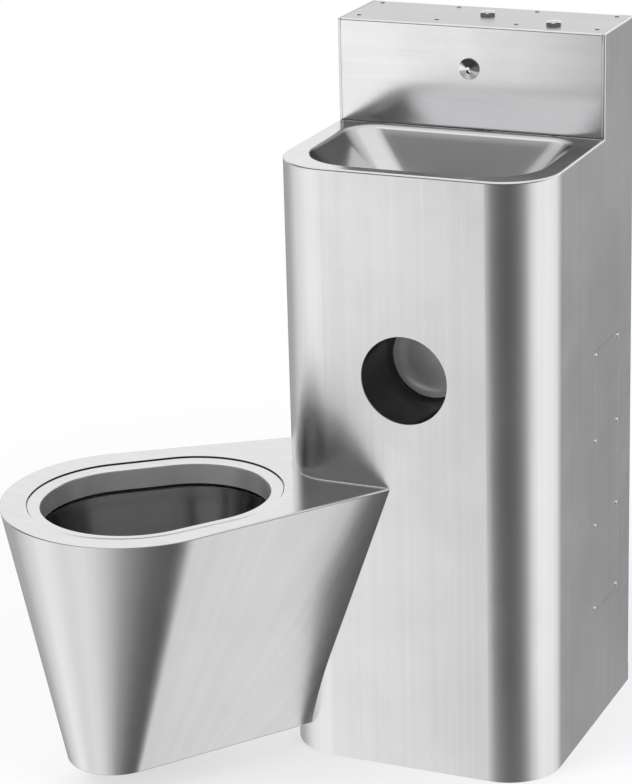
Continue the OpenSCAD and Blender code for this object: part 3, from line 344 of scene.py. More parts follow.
def steel(
    name, tint, roughness, stretch,
    lines=900.0, streaks=90.0, streak_share=0.04, cloud_share=0.2, bump=0.00001, fan=None, metallic=1.0,
):
    """Stainless steel: grain, streaks and clouds of wiping. With a fan the grain runs out from that point."""
    material, tree, place = new_material(name)
    lay = place
    if fan is not None:
        parts = tree.parts(tree.vector("SUBTRACT", place, fan))
        spread = {k: tree.math("MULTIPLY", tree.math("DIVIDE", parts[k], parts["Z"]), -fan[2] * 2) for k in "XY"}
        lay = tree.add("ShaderNodeCombineXYZ", {**spread, "Z": parts["Z"]}).outputs[0]
    grain = tree.group("Brushed grain", {"Vector": lay, "Stretch": stretch, "Lines": lines, "Streaks": streaks})
    cloud = tree.group("Handling marks", {"Vector": place})["Cloud"]
    tone = tree.span(grain["Streak"], 0.3, 0.7, 1.0 - streak_share, 1.0)
    rough = tree.plus(roughness * (1.0 - cloud_share / 2), cloud, roughness * cloud_share)
    surface(tree, tree.toned(tint, tone), metallic, rough, grain["Height"], 1.0, bump)
    return material


def moulded(name, tint, roughness, grain=1400.0, bump=0.00004, wear=0.12):
    """Plastic or rubber with a fine moulded grain and slight dulling."""
    material, tree, place = new_material(name)
    marks = tree.group("Handling marks", {"Vector": place, "Clouds": 18.0, "Scratches": 90.0})
    tone = tree.math("SUBTRACT", 1.0, tree.math("MULTIPLY", marks["Cloud"], wear))
    rough = tree.plus(roughness, marks["Cloud"], 0.12)
    height = tree.plus(tree.noise(place, grain, 2.0), marks["Scratch"], -0.5)
    surface(tree, tree.toned(tint, tone), 0.0, rough, height, 0.8, bump)
    return material


def yellow_metal(name, tint, dull, roughness):
    """Brass or copper: drawn lines, dull patches of oxide."""
    material, tree, place = new_material(name)
    marks = tree.group("Handling marks", {"Vector": place, "Clouds": 22.0, "Scratches": 120.0})
    values = {"Vector": place, "Stretch": (1.0, 1.0, 0.1), "Lines": 700.0, "Streaks": 60.0}
    grain = tree.group("Brushed grain", values)
    base = tree.blend(tree.math("MULTIPLY", marks["Cloud"], 0.7), (*tint, 1.0), (*dull, 1.0))
    rough = tree.plus(roughness, marks["Cloud"], 0.18)
    height = tree.plus(grain["Height"], marks["Scratch"], -0.5)
    surface(tree, base, 1.0, rough, height, 0.8, 0.00003)
    return material


# How much the grain is drawn out along each axis, and settings that finishes share
UPRIGHT, ACROSS, FLAT, EVEN = (1.0, 1.0, 0.012), (0.03, 1.0, 1.0), (0.2, 0.2, 1.0), (1.0, 1.0, 1.0)
POLISHED = {"lines": 500.0, "streaks": 24.0, "streak_share": 0.08}
SPUN = {"lines": 600.0, "streaks": 30.0}
FAN_TOP = (-0.3849, -0.5749, -0.1962)  # where the lines of the skirt's taper meet

# Steel finishes: name, brightness against plain steel, roughness, grain, and other settings
STEELS = {
    "upright steel": ("Satin steel, upright grain", 1.0, 0.24, UPRIGHT, {}),
    "skirt steel": (
        "Satin steel, grain fanned", 1.0, 0.20, UPRIGHT,
        {"lines": 380.0, "streaks": 60.0, "bump": 0.000007, "fan": FAN_TOP},
    ),
    "deck steel": ("Satin steel, grain across", 1.0, 0.24, ACROSS, {}),
    "cover steel": ("Satin steel of the upstand", 1.0, 0.17, ACROSS, {"bump": 0.000006}),
    "bowl steel": ("Polished steel of the basin's bowl", 0.92, 0.18, FLAT, POLISHED),
    # the recess's wall is darkened to 0.16 as painted shade, and its back lightened to 1.1 as painted light
    "shaded cup steel": ("Drawn wall of the roll recess", 0.16, 0.20, (1.0, 0.05, 1.0), SPUN),
    "lit cup back steel": ("Blasted back of the roll recess", 1.1, 0.36, EVEN, {**SPUN, "metallic": 0.4}),
    # the cover's top is a copy of its steel darkened to 0.74 as painted shade
    "shaded top steel": ("Satin steel of the upstand's top", 0.74, 0.30, ACROSS, {}),
    "polished deck steel": (
        "Polished steel of the pan's deck", 1.0, 0.13, (0.2, 1.0, 1.0), {"lines": 700.0, "bump": 0.000005}
    ),
    "collar steel": ("Satin steel of the seat's collar", 1.0, 0.20, FLAT, {**POLISHED, "metallic": 0.72}),
    # the pan's bowl is darkened to 0.42: partly steel's own lower reflectance, partly painted shade of the deep bowl
    "shaded pan steel": ("Polished steel of the pan's bowl", 0.42, 0.18, FLAT, POLISHED),
    "turned steel": (
        "Bright turned steel", 1.0, 0.12, EVEN,
        {"lines": 1500.0, "streaks": 300.0, "streak_share": 0.03, "bump": 0.000003},
    ),
    "mill steel": ("Mill finish steel", 0.72, 0.38, (0.05, 1.0, 1.0), {"streaks": 60.0, "streak_share": 0.15}),
    "spring wire": ("Drawn spring wire", 0.72, 0.24, EVEN, {"lines": 2500.0, "streaks": 700.0}),
    "weld": (
        "Ground weld", 1.0, 0.24, EVEN, {"lines": 1800.0, "streaks": 400.0, "streak_share": 0.2, "bump": 0.00004}
    ),
}
MATERIALS = {}


def make_materials(finish):
    """Every finish of the unit, by name."""
    grain_group()
    handling_group()

    def shade(level):
        return tuple(c * level for c in finish.steel)

    made = {
        key: steel(name, shade(level), roughness, stretch, **rest)
        for key, (name, level, roughness, stretch, rest) in STEELS.items()
    }
    # near-black painted shade, put in the spout's bore, in the gap under the upstand's cover and on the step of the
    # seat ledge
    made["painted shade steel"] = moulded("Steel in bores and seams", shade(0.02), 0.85, grain=900.0, wear=0.3)
    made["brass"] = yellow_metal("Machined brass", tuple(finish.brass), (0.36, 0.25, 0.12), 0.24)
    made["copper"] = yellow_metal("Drawn copper", tuple(finish.copper), (0.33, 0.16, 0.10), 0.26)
    made["white plastic"] = moulded("White moulded plastic", tuple(finish.white), 0.34)
    made["grey plastic"] = moulded("Grey pipe plastic", tuple(finish.grey), 0.42)
    made["black plastic"] = moulded("Black moulded plastic", tuple(finish.black), 0.38)
    made["rubber"] = moulded("Moulded rubber", tuple(finish.rubber), 0.68, grain=900.0, bump=0.0001, wear=0.3)
    made["air tube"] = moulded("Soft tube", tuple(finish.tube), 0.26, wear=0.06)
    return made


# The finish of every CAD node that is shown as it is
CARRIED = {
    "mill steel": ("base_frame", "cover_rails", "access_panel_frame", "flush_rim", "toilet_trap", "valve_rail"),
    "grey plastic": ("soil_elbow", "soil_pipe"),
    "rubber": ("soil_seal", "flush_seal", "waste_seal"),
    "brass": (
        "spout_locknut", "spout_elbow", "basin_button_nut", "flush_button_nut", "basin_valve", "flush_valve",
        "basin_inlet", "flush_inlet", "inlet_locknuts",
    ),
    "copper": ("spout_riser", "flush_pipe"),
    "black plastic": ("basin_air_capsule", "flush_air_capsule"),
    "air tube": ("basin_air_tube", "flush_air_tube"),
    "white plastic": ("waste_body", "waste_nut", "basin_trap", "basin_waste_pipe"),
    "turned steel": ("waste_screw",),
}


def build_finishes(finish):
    """Makes the finishes, and gives every carried-over CAD node its own."""
    MATERIALS.update(make_materials(finish))
    for name, nodes in CARRIED.items():
        for node in nodes:
            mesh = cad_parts[node].data
            if not mesh.materials:
                mesh.materials.append(MATERIALS[name])
            for i in range(len(mesh.materials)):
                mesh.materials[i] = MATERIALS[name]


# Meshes


class Sheet:
    """Points and faces of one piece, collected ring by ring."""

    def __init__(self):
        self.points = []
        self.faces = []

    def ring(self, points):
        """Adds points and returns their numbers."""
        start = len(self.points)
        self.points.extend(Vector(p) for p in points)
        return list(range(start, len(self.points)))

    def skin(self, a, b, closed=True):
        """Joins two rings of the same count with four-sided faces."""
        n = len(a)
        for i in range(n if closed else n - 1):
            j = (i + 1) % n
            self.faces.append((a[i], a[j], b[j], b[i]))

    def loft(self, rings, closed=True):
        """Adds rings and joins each to the next; returns the last ring."""
        last = None
        for points in rings:
            ring = self.ring(points)
            if last is not None:
                self.skin(last, ring, closed)
            last = ring
        return last

    def cap(self, ring):
        """Closes a ring with one face."""
        self.faces.append(tuple(ring))

    def closed_loft(self, rings):
        """A loft whose two ends are closed; its first ring comes first in the sheet."""
        self.cap(self.loft(rings))
        self.cap(range(len(rings[0])))

    def fill(self, outer, *holes):
        """Fills a flat outline that may have holes."""
        loops = [[Vector(p) for p in loop] for loop in (outer, *holes)]
        start = len(self.points)
        for loop in loops:
            self.points.extend(loop)
        self.faces.extend(tuple(start + i for i in face) for face in tessellate_polygon(loops))

    def mesh(self, name, probe=None, way=None):
        """A mesh with doubles merged. Where a probe is given, the face nearest to it is made to look that way."""
        bm = bmesh.new()
        verts = [bm.verts.new(p) for p in self.points]
        for face in self.faces:
            try:
                bm.faces.new([verts[i] for i in face])
            except ValueError:
                continue
        bmesh.ops.remove_doubles(bm, verts=bm.verts, dist=DOUBLES)
        bmesh.ops.dissolve_degenerate(bm, edges=bm.edges, dist=NO_LENGTH)
        bmesh.ops.recalc_face_normals(bm, faces=bm.faces)
        if probe is not None:
            near = min(bm.faces, key=lambda f: (f.calc_center_median() - Vector(probe)).length)
            if near.normal.dot(Vector(way)) < 0:
                bmesh.ops.reverse_faces(bm, faces=bm.faces)
        mesh = bpy.data.meshes.new(name)
        bm.to_mesh(mesh)
        bm.free()
        return mesh


def finish_mesh(mesh, angle=32.0):
    """Smooth shading with sharp edges kept."""
    mesh.polygons.foreach_set("use_smooth", [True] * len(mesh.polygons))
    mesh.set_sharp_from_angle(angle=math.radians(angle))
    mesh.update()


def freeze(obj):
    """Turns the modified result into the object's own plain mesh."""
    graph = bpy.context.evaluated_depsgraph_get()
    mesh = bpy.data.meshes.new_from_object(obj.evaluated_get(graph), preserve_all_data_layers=True, depsgraph=graph)
    obj.modifiers.clear()
    obj.data = mesh


def new_object(name, data):
    """An object with this data, linked to the scene."""
    obj = bpy.data.objects.new(name, data)
    bpy.context.collection.objects.link(obj)
    return obj


def set_materials(obj, *names):
    """Gives an object these finishes as its material slots."""
    obj.data.materials.clear()
    for name in names:
        obj.data.materials.append(MATERIALS[name])


def place_piece(name, mesh, materials, angle=32.0):
    """Links a mesh as an object with its finishes."""
    obj = new_object(name, mesh)
    set_materials(obj, *materials)
    finish_mesh(mesh, angle)
    return obj


def paint(obj, slot_of):
    """Gives every face the material slot that slot_of(face) says."""
    for face in obj.data.polygons:
        face.material_index = int(slot_of(face))


def thicken(obj, thickness, angle=32.0):
    """Gives an open sheet its thickness, on the side that its faces look away from."""
    solid = obj.modifiers.new("Thickness", "SOLIDIFY")
    solid.thickness = thickness
    solid.offset = -1.0
    solid.use_even_offset = True
    solid.use_quality_normals = True
    freeze(obj)
    finish_mesh(obj.data, angle)


def round_edges(obj, chosen, width):
    """Rounds the sharp edges for which chosen(edge middle) holds."""
    bm = bmesh.new()
    bm.from_mesh(obj.data)
    sharp = [
        e
        for e in bm.edges
        if len(e.link_faces) == 2
        and e.calc_face_angle(0.0) > math.radians(50)
        and chosen((e.verts[0].co + e.verts[1].co) / 2)
    ]
    bmesh.ops.bevel(bm, geom=sharp, offset=width, segments=2, profile=0.5, affect="EDGES", clamp_overlap=True)
    bm.to_mesh(obj.data)
    bm.free()
    finish_mesh(obj.data)


def finish_piece(obj, body, slot, *nodes):
    """Puts a piece on its body, and says what it stands for and which finish it has."""
    weighted = obj.modifiers.new("Normals", "WEIGHTED_NORMAL")
    weighted.mode = "FACE_AREA"
    weighted.weight = 100
    weighted.thresh = 0.0001
    weighted.keep_sharp = True
    freeze(obj)
    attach(obj, body)
    if nodes:
        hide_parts(*nodes)


def middle(low, high):
    """The middle of a box."""
    return [(a + b) / 2 for a, b in zip(low, high)]


def rotation(degrees, axis):
    """A rotation about an axis."""
    return Matrix.Rotation(math.radians(degrees), 4, axis)


def polars(radius, angles):
    """(radius * cosine, radius * sine) of angles in degrees."""
    return [(radius * math.cos(math.radians(a)), radius * math.sin(math.radians(a))) for a in angles]


def arc(cx, cy, radius, start, end, steps):
    """Points of an arc in plan, angles in degrees."""
    angles = [start + (end - start) * i / steps for i in range(steps + 1)]
    return [(cx + dx, cy + dy) for dx, dy in polars(radius, angles)]


def circle(radius, height, steps):
    """Points of a level circle about z."""
    angles = [2 * math.pi * i / steps for i in range(steps)]
    return [(radius * math.cos(a), radius * math.sin(a), height) for a in angles]


def hexagon(half, angle):
    """Radius of a six-sided outline, of this half width across flats, at an angle."""
    return half / math.cos((angle % (math.pi / 3)) - math.pi / 6)


def between(a, b, part):
    """The plan point at this part of the way from a to b."""
    return (a[0] + (b[0] - a[0]) * part, a[1] + (b[1] - a[1]) * part)


def disc(outline, centre, radius, z):
    """Points of a level circle round a centre, one towards each point of an outline."""
    flat = Vector((centre.x, centre.y, 0))
    ways = [(Vector((q.x, q.y, 0)) - flat).normalized() for q in outline]
    return [Vector((centre.x, centre.y, z)) + way * radius for way in ways]


def lathe(profile, steps, matrix=None):
    """A spun surface about z from (radius, height) pairs; a radius of 0 closes the pole."""
    sheet = Sheet()
    last = pole = None
    for radius, height in profile:
        if radius < 1e-7:
            pole = sheet.ring([(0, 0, height)])[0]
            if last is not None:
                sheet.faces.extend((last[i], last[(i + 1) % steps], pole) for i in range(steps))
            last = None
            continue
        ring = sheet.ring(circle(radius, height, steps))
        if last is not None:
            sheet.skin(last, ring)
        elif pole is not None:
            sheet.faces.extend((ring[(i + 1) % steps], ring[i], pole) for i in range(steps))
        last = ring
    if matrix is not None:
        sheet.points = [matrix @ p for p in sheet.points]
    return sheet


# Cabinet


def cabinet_plan(c, inset, y_back):
    """Plan points from the left rear round the front to the right rear; support points stand by every bend."""
    half, depth = c.width / 2, c.depth
    x_flat, y_arc = half - c.corner, -(depth - c.corner)
    left = [(-half + inset, y_back), (-half + inset, y_arc + SUPPORT)]
    left += arc(-x_flat, y_arc, c.corner - inset, 180, 270, 26)
    left += [(-x_flat + SUPPORT, -depth + inset)]
    return left + [(-x, y) for x, y in reversed(left)]


def side_face(sheet, c, side, holes=()):
    """The flat side of the cabinet and the upstand, with the folds of its lips and wall flange."""
    half, top, fold, low = c.width / 2, c.height, c.fold, c.flange_low
    y_arc = -(c.depth - c.corner) + SUPPORT
    deck = c.deck - c.rim
    y_fold, z_fold = -c.upstand + fold, top - fold
    outer = [
        (y_arc, 0), (0, 0), (0, low), (-fold, low), (-fold, z_fold), (y_fold, z_fold), (y_fold, deck), (y_arc, deck)
    ]
    sheet.fill([(side * half, y, z) for y, z in outer], *holes)
    angles = [90 * i / 5 for i in range(6)]
    bends = polars(fold, angles)
    x_in, x_lip, x_flange = side * (half - fold), side * (half - c.lip), side * (half - c.flange)
    rows = [[(x_in + side * u, -fold + v, z) for z in (low, z_fold + fold)] for u, v in bends]
    sheet.loft(rows + [[(x_flange, 0, z) for z in (low, top)]], closed=False)
    rows = [[(x_in + side * u, y, z_fold + v) for y in (-fold, y_fold)] for u, v in bends]
    sheet.loft(rows + [[(x_lip, y, top) for y in (-fold, y_fold)]], closed=False)
    rows = [[(x_in + side * u, y_fold - v, z) for z in (deck, z_fold)] for u, v in bends]
    sheet.loft(rows + [[(x_lip, -c.upstand, z) for z in (deck, z_fold)]], closed=False)
    upward = [(cos, rise) for (cos, _), (_, rise) in zip(polars(1, angles), bends)]
    patch = [[(x_in + side * u * cos, y_fold - v * cos, z_fold + rise) for cos, rise in upward] for u, v in bends]
    sheet.loft(patch, closed=False)
    sheet.loft([[(x, y_fold - u, z_fold + v) for u, v in bends] for x in (x_in, x_lip)], closed=False)


def build_shell(c):
    """The wrapped sheet of the cabinet with its folds, the hole of the recess and the opening of the side panel."""
    sheet = Sheet()
    half, top, g = c.width / 2, c.deck - c.rim, c.gap
    x_flat = half - c.corner - SUPPORT
    bends = cabinet_plan(c, 0, 0)[1:-1]
    for strip in (bends[: len(bends) // 2], bends[len(bends) // 2 :]):
        sheet.loft([[(x, y, z) for x, y in strip] for z in (0, top)], closed=False)
    hole = [(x, -c.depth, z) for x, z in arc(0, CUP_Z, c.cup, 0, 360, 120)[:-1]]
    front = [(-x_flat, 0), (x_flat, 0), (x_flat, top), (-x_flat, top)]
    sheet.fill([(x, -c.depth, z) for x, z in front], hole)
    (y0, z0), (y1, z1) = (PANEL_LOW.y - g, PANEL_LOW.z - g), (PANEL_HIGH.y + g, PANEL_HIGH.z + g)
    side_face(sheet, c, 1, [[(half, y0, z0), (half, y1, z0), (half, y1, z1), (half, y0, z1)]])
    side_face(sheet, c, -1)
    shell = place_piece("cabinet_shell", sheet.mesh("cabinet_shell", (0, -c.depth, 0.3), (0, -1, 0)), ["upright steel"])
    thicken(shell, c.sheet)

    def cut_edge(p):
        at_cup = abs(math.hypot(p.x, p.z - CUP_Z) - c.cup) < 1 * MM and p.y < -c.depth + 3 * MM
        at_panel = p.x > half - 2 * MM and y0 - g < p.y < y1 + g and z0 - g < p.z < z1 + g
        return at_cup or at_panel or p.z < 0.2 * MM

    round_edges(shell, cut_edge, c.edge)
    finish_piece(shell, UNIT, "satin_steel", "body_shell")


def basin_plan(width, y_front, y_back, rf, rb, z):
    """Rounded rectangle as a ring of points, from the middle of the front, counter-clockwise."""
    w, sides, steps = width / 2, 10, 14
    ring = [((w - rf) * i / sides, y_front) for i in range(sides)]
    ring += arc(w - rf, y_front + rf, rf, -90, 0, steps)[:-1]
    ring += [(w, y_front + rf + (y_back - rb - y_front - rf) * i / sides) for i in range(sides)]
    ring += arc(w - rb, y_back - rb, rb, 0, 90, steps)[:-1]
    ring += [((w - rb) * (1 - i / sides), y_back) for i in range(sides)]
    whole = ring + [(0, y_back)] + [(-x, y) for x, y in reversed(ring[1:])]
    return [Vector((x, y, z)) for x, y in whole]


def eased(a, b, c, share_in, share_out, steps=10):
    """Points from a past b to c, with the bend at b rounded: the shares are how much of each leg it takes."""
    start, end = b + (a - b) * share_in, b + (c - b) * share_out
    return [(1 - t) ** 2 * start + 2 * t * (1 - t) * b + t * t * end for t in (i / steps for i in range(steps + 1))]


def bowl_rings(top, middle_ring, low, drain, ease_mid, ease_low, lead):
    """Rings of a bowl between four levels, its bends rounded: lead is how many rings come before the first bend."""
    columns = []
    for t, m, f, d in zip(top, middle_ring, low, drain):
        points = [t + (m - t) * (1 - ease_mid) * i / lead for i in range(lead)]
        points += eased(t, m, f, ease_mid, 0.45)
        points += eased(m, f, d, 0.5, ease_low)
        columns.append(points + [d])
    return [list(ring) for ring in zip(*columns)]


def build_basin(c, b):
    """The deck with its rounded edge, the rolled lip and the bowl pressed into it."""
    sheet = Sheet()
    z, r, lip = c.deck, c.rim, b.lip
    inner = 1.2 * MM  # row that keeps the flat deck flat beside its roundings
    seam, tongue = -c.upstand - 1.2 * MM, -c.upstand + 15 * MM

    def edge_line(inset, height):
        first, *points, last = cabinet_plan(c, inset, -c.upstand)
        return [(x, y, height) for x, y in (first, (first[0], seam), *points, (last[0], seam), last)]

    rows = [edge_line(r - u, z - r + v) for u, v in polars(r, range(0, 91, 15))] + [edge_line(r + inner, z)]
    sheet.loft(rows, closed=False)
    y_front, y_back = -(c.depth - b.front), -(c.upstand + b.back)

    def opening(grow, height):
        front, back = y_front - grow * 0.5, y_back + grow * 1.3
        return basin_plan(b.width + 2 * grow, front, back, b.front_radius + grow, b.back_radius + grow, height)

    outer = rows[-1]
    sheet.fill(outer[1:-1], opening(lip + inner, z))
    # the strip that is tucked under the upstand's cover
    half = math.copysign(c.width / 2 - c.sheet - 0.3 * MM, outer[-1][0])
    tucked = [(half, -c.upstand, z), (half, tongue, z), (-half, tongue, z), (-half, -c.upstand, z)]
    sheet.cap(sheet.ring([outer[-2], outer[-1], *tucked, outer[0], outer[1]]))
    rings = [opening(lip + inner, z)]
    rings += [opening(lip * (1 - sin), z - lip * (1 - cos)) for cos, sin in polars(1, range(0, 61, 10))]
    # the bowl's middle section, drawn in from the opening by 62 mm a side, 50 mm in front and 27 mm behind
    waist = basin_plan(b.width - 124 * MM, y_front + 50 * MM, y_back - 27 * MM, 50 * MM, 38 * MM, z - b.mid_depth)
    centre = Vector((0, -b.drain, z - b.floor_depth))
    floor = disc(waist, centre, b.floor_radius, centre.z)
    drain = disc(waist, centre, b.drain_radius, centre.z)
    rings += bowl_rings(rings[-1], waist, floor, drain, ease_mid=0.42, ease_low=0.6, lead=5)[1:]
    rings.append(disc(waist, centre, b.drain_radius, centre.z - 0.4 * MM))
    sheet.loft(rings)
    mesh = sheet.mesh("basin_bowl", (0, y_front - 8 * MM, z), (0, 0, 1))
    basin = place_piece("basin_bowl", mesh, ["deck steel", "bowl steel", "painted shade steel"], 40)
    thicken(basin, c.sheet, 40)

    def slot_of(face):
        p = face.center
        across = abs(p.x) < b.width / 2 + 2 * MM
        if across and p.z < z - 2.2 * MM and y_front - 2 * MM < p.y < y_back + 2 * MM:
            return 1
        # faces behind the upstand's face, seen through the gap under the cover, take the near-black painted shade
        return 2 if p.y > seam + 2 * MM else 0

    paint(basin, slot_of)
    finish_piece(basin, UNIT, "polished_steel", "basin")


def build_cover(c):
    """The folded cover of the upstand between the shell's lips."""
    half = c.width / 2 - c.lip - c.gap
    y, z, t, r = -c.upstand, c.height, c.sheet, c.cover_bend
    low, rear = c.deck + 1.0 * MM, -c.sheet - c.gap
    outside = [(y, low), (y, z - r - SUPPORT)]
    outside += [(y + r - u, z - r + v) for u, v in polars(r, range(0, 91, 10))]
    outside += [(y + r + SUPPORT, z), (rear, z)]
    inside = [(rear, z - t), (y + r + SUPPORT, z - t)]
    inside += [(y + r - u, z - r + v) for u, v in polars(r - t, range(90, -1, -10))]
    inside += [(y + t, z - r - SUPPORT), (y + t, low)]
    sheet, section = Sheet(), outside + inside
    sheet.loft([[(x, *p) for p in section] for x in (-half, half)])
    for base in (0, len(section)):
        for i in range(len(outside) - 1):
            j = len(section) - 1 - i
            sheet.faces.append((base + i, base + i + 1, base + j - 1, base + j))
    cover = place_piece("upstand_cover_sheet", sheet.mesh("upstand_cover_sheet"), ["cover steel"])
    round_edges(cover, lambda p: p.z > low + 1 * MM, c.edge)
    set_materials(cover, "cover steel", "shaded top steel")
    # the top faces take the darkened copy of the cover's steel, as painted shade
    paint(cover, lambda face: face.center.z > z - 0.1 * MM)
    finish_piece(cover, UNIT, "satin_steel", "upstand_cover")


def build_panel(c):
    """The access panel, flush in the cabinet's right side, with small corner radii and drawn edges."""
    low, high, r, ease = PANEL_LOW, PANEL_HIGH, 1.2 * MM, c.edge

    def ring(x, inset):
        y0, y1, z0, z1 = low.y + inset, high.y - inset, low.z + inset, high.z - inset
        points = arc(y1 - r, z1 - r, r, 0, 90, 5) + arc(y0 + r, z1 - r, r, 90, 180, 5)
        points += arc(y0 + r, z0 + r, r, 180, 270, 5) + arc(y1 - r, z0 + r, r, 270, 360, 5)
        return [(x, a, b) for a, b in points]

    rows = [
        (low.x, ease), (low.x + ease, 0), (high.x - ease, 0), (high.x - ease * 0.3, ease * 0.3),
        (high.x, ease), (high.x, ease + 1 * MM),
    ]
    sheet = Sheet()
    sheet.closed_loft([ring(*row) for row in rows])
    panel = place_piece("access_panel_sheet", sheet.mesh("access_panel_sheet"), ["upright steel"])
    finish_piece(panel, UNIT, "satin_steel", "access_panel")


def build_cup(c):
    """The spun recess for the paper roll."""
    depth, f, r = CUP_HIGH.y - CUP_LOW.y - c.sheet, c.cup_fillet, c.cup
    profile = [((CUP_HIGH.x - CUP_LOW.x) / 2, 0), (r + 2 * MM, 0)]
    profile += [(r + 1 * MM - v, 1 * MM - u) for u, v in polars(1 * MM, range(0, 91, 18))]
    profile += [(r, 3 * MM), (r, depth - f - 2 * MM)]
    profile += [(r - f + u, depth - f + v) for u, v in polars(f, range(0, 91, 6))]
    profile += [(r - f - 2 * MM, depth), (12 * MM, depth), (0, depth)]
    turn_in = Matrix.Translation((0, CUP_LOW.y, CUP_Z)) @ rotation(-90, "X")
    mesh = lathe(profile, 120, turn_in).mesh("roll_cup", (0, CUP_LOW.y + depth, CUP_Z), (0, -1, 0))
    cup = place_piece("roll_cup", mesh, ["shaded cup steel", "lit cup back steel"], 40)
    thicken(cup, c.sheet, 40)
    # the back takes the lightened steel and the wall the darkened steel: painted light and shade of the recess
    paint(cup, lambda face: face.center.y > CUP_LOW.y + depth - f * 0.45)
    finish_piece(cup, UNIT, "polished_steel", "roll_recess")


# Toilet pan


def pan_matrix(c):
    """Takes the pan's own frame, x along its axis away from the cabinet, to the cabinet's corner."""
    return Matrix.Translation((-c.width / 2, -c.depth, 0)) @ rotation(-135, "Z")


def twin_half(a1, r1, a2, r2, nose_steps, side_steps, heel_steps):
    """Half of the outline round two circles, from the tip of the nose to the tip of the heel, on the +y side."""
    s = (r2 - r1) / (a1 - a2)
    tangent = math.degrees(math.acos(s))
    k = math.sqrt(1 - s * s)
    t1, t2 = (a1 + r1 * s, r1 * k), (a2 + r2 * s, r2 * k)
    points = arc(a1, 0, r1, 0, tangent, nose_steps)
    points += [between(t1, t2, i / side_steps) for i in range(1, side_steps)]
    return points + arc(a2, 0, r2, tangent, 180, heel_steps)


def twin_ring(matrix, z, a1, r1, a2, r2):
    """The whole outline as a closed ring in place."""
    half = twin_half(a1, r1, a2, r2, nose_steps=40, side_steps=10, heel_steps=40)
    ring = half + [(x, -y) for x, y in reversed(half[1:-1])]
    return [matrix @ Vector((x, y, z)) for x, y in ring]


def outside_cabinet(c, x, y, inset):
    """How far a plan point lies outside the cabinet's outline drawn in by inset; negative inside."""
    half, depth, r = c.width / 2 - inset, c.depth - inset, c.corner - inset
    qx, qy = abs(x) - (half - r), -y - (depth - r)
    return math.hypot(max(qx, 0), max(qy, 0)) - r + min(max(qx, qy), 0)


def pan_section(c, matrix, z, a1, r1, a2, r2, inset=PAN_GAP):
    """The part of an outline that stands outside the cabinet, from the front wall round the nose to the left wall."""
    nose_steps, kept_steps = 44, 16
    nose = twin_half(a1, r1, a2, r2, nose_steps, side_steps=60, heel_steps=60)
    side = nose[nose_steps:]

    def out(p):
        q = matrix @ Vector((p[0], p[1], 0))
        return outside_cabinet(c, q.x, q.y, inset)

    kept = [side[0]]
    for a, b in zip(side, side[1:]):
        fa, fb = out(a), out(b)
        if fb <= 0:
            kept.append(between(a, b, fa / (fa - fb)))
            break
        kept.append(b)
    lengths = [0.0]
    for a, b in zip(kept, kept[1:]):
        lengths.append(lengths[-1] + math.dist(a, b))
    walk, k = [], 0
    for i in range(1, kept_steps + 1):
        mark = lengths[-1] * i / kept_steps
        while k < len(lengths) - 2 and lengths[k + 1] < mark:
            k += 1
        walk.append(between(kept[k], kept[k + 1], (mark - lengths[k]) / (lengths[k + 1] - lengths[k])))
    half = nose[: nose_steps + 1] + walk
    path = list(reversed(half)) + [(x, -y) for x, y in half[1:]]
    return [matrix @ Vector((x, y, z)) for x, y in path]


def wall_path(c, start, end, z, inset=PAN_GAP, steps=20):
    """The cabinet's outline between the pan's two contacts, from the left wall to the front wall."""
    half, depth, r = c.width / 2 - inset, c.depth - inset, c.corner - inset
    bend = arc(-(half - r), -(depth - r), r, 180, 270, steps)
    return [Vector((x, y, z)) for x, y in bend if y < start.y - 0.1 * MM and x < end.x - 0.1 * MM]


def deck_section(c, p, matrix, z, drawn_in, inset=PAN_GAP):
    """The deck's outline, drawn in, where it stands outside the cabinet's outline drawn in by inset."""
    return pan_section(c, matrix, z, p.nose, p.nose_radius - drawn_in, -p.heel, p.heel_radius - drawn_in, inset)


def skirt_level(c, p, matrix, z, inset=0.0):
    """The skirt's section at a height, drawn in by inset."""
    t = (z - p.foot_height) / (p.height - p.foot_height)
    a1 = p.foot + (p.nose - p.foot) * t
    r1 = p.foot_radius + (p.nose_radius - p.foot_radius) * t
    r2 = p.foot_heel_radius + (p.heel_radius - p.foot_heel_radius) * t
    return pan_section(c, matrix, z, a1, r1 - inset, -p.heel, r2 - inset)


def build_skirt(c, p):
    """The tapered skirt with its folded lower edge."""
    matrix, r, levels = pan_matrix(c), 2 * MM, 14
    top, low = p.height - p.rim, p.foot_height

    def lower_edge(inset, height):
        return [Vector((q.x, q.y, height)) for q in skirt_level(c, p, matrix, low, inset)]

    heights = [top, top - 2 * MM]
    heights += [top - 2 * MM + (low + r + 2 * MM - top) * i / levels for i in range(1, levels + 1)] + [low + r]
    rings = [skirt_level(c, p, matrix, z) for z in heights]
    rings += [lower_edge(r - u, low + r - v) for u, v in polars(r, (22.5, 45, 67.5, 90))]
    rings += [skirt_level(c, p, matrix, low, r + 1 * MM), lower_edge(min(p.foot_lip, p.foot_heel_radius - 1 * MM), low)]
    sheet = Sheet()
    sheet.loft(rings, closed=False)
    mesh = sheet.mesh("pan_skirt", matrix @ Vector((p.nose + p.nose_radius, 0, 0.3)), (-1, -1, 0))
    skirt = place_piece("pan_skirt", mesh, ["skirt steel"])
    thicken(skirt, c.sheet)
    finish_piece(skirt, UNIT, "satin_steel", "toilet_skirt")


# The seat ledge's section in millimetres: how far outside the opening, and how far below the deck
LEDGE = (
    (30.2, 0.0), (29.4, 0.02), (28.6, 0.1), (28.0, 0.22), (20.0, 1.9), (19.4, 2.05), (19.1, 2.3), (19.0, 2.7),
    (19.0, 4.4), (18.7, 4.8), (18.2, 4.9), (17.7, 4.7), (17.4, 4.3), (16.9, 4.2), (9.4, 4.85), (9.0, 5.1),
    (8.4, 5.1), (8.0, 4.95), (4.6, 5.25), (3.4, 5.4),
)
COLLAR_EDGE, COLLAR_DROP = 3.0, 5.45


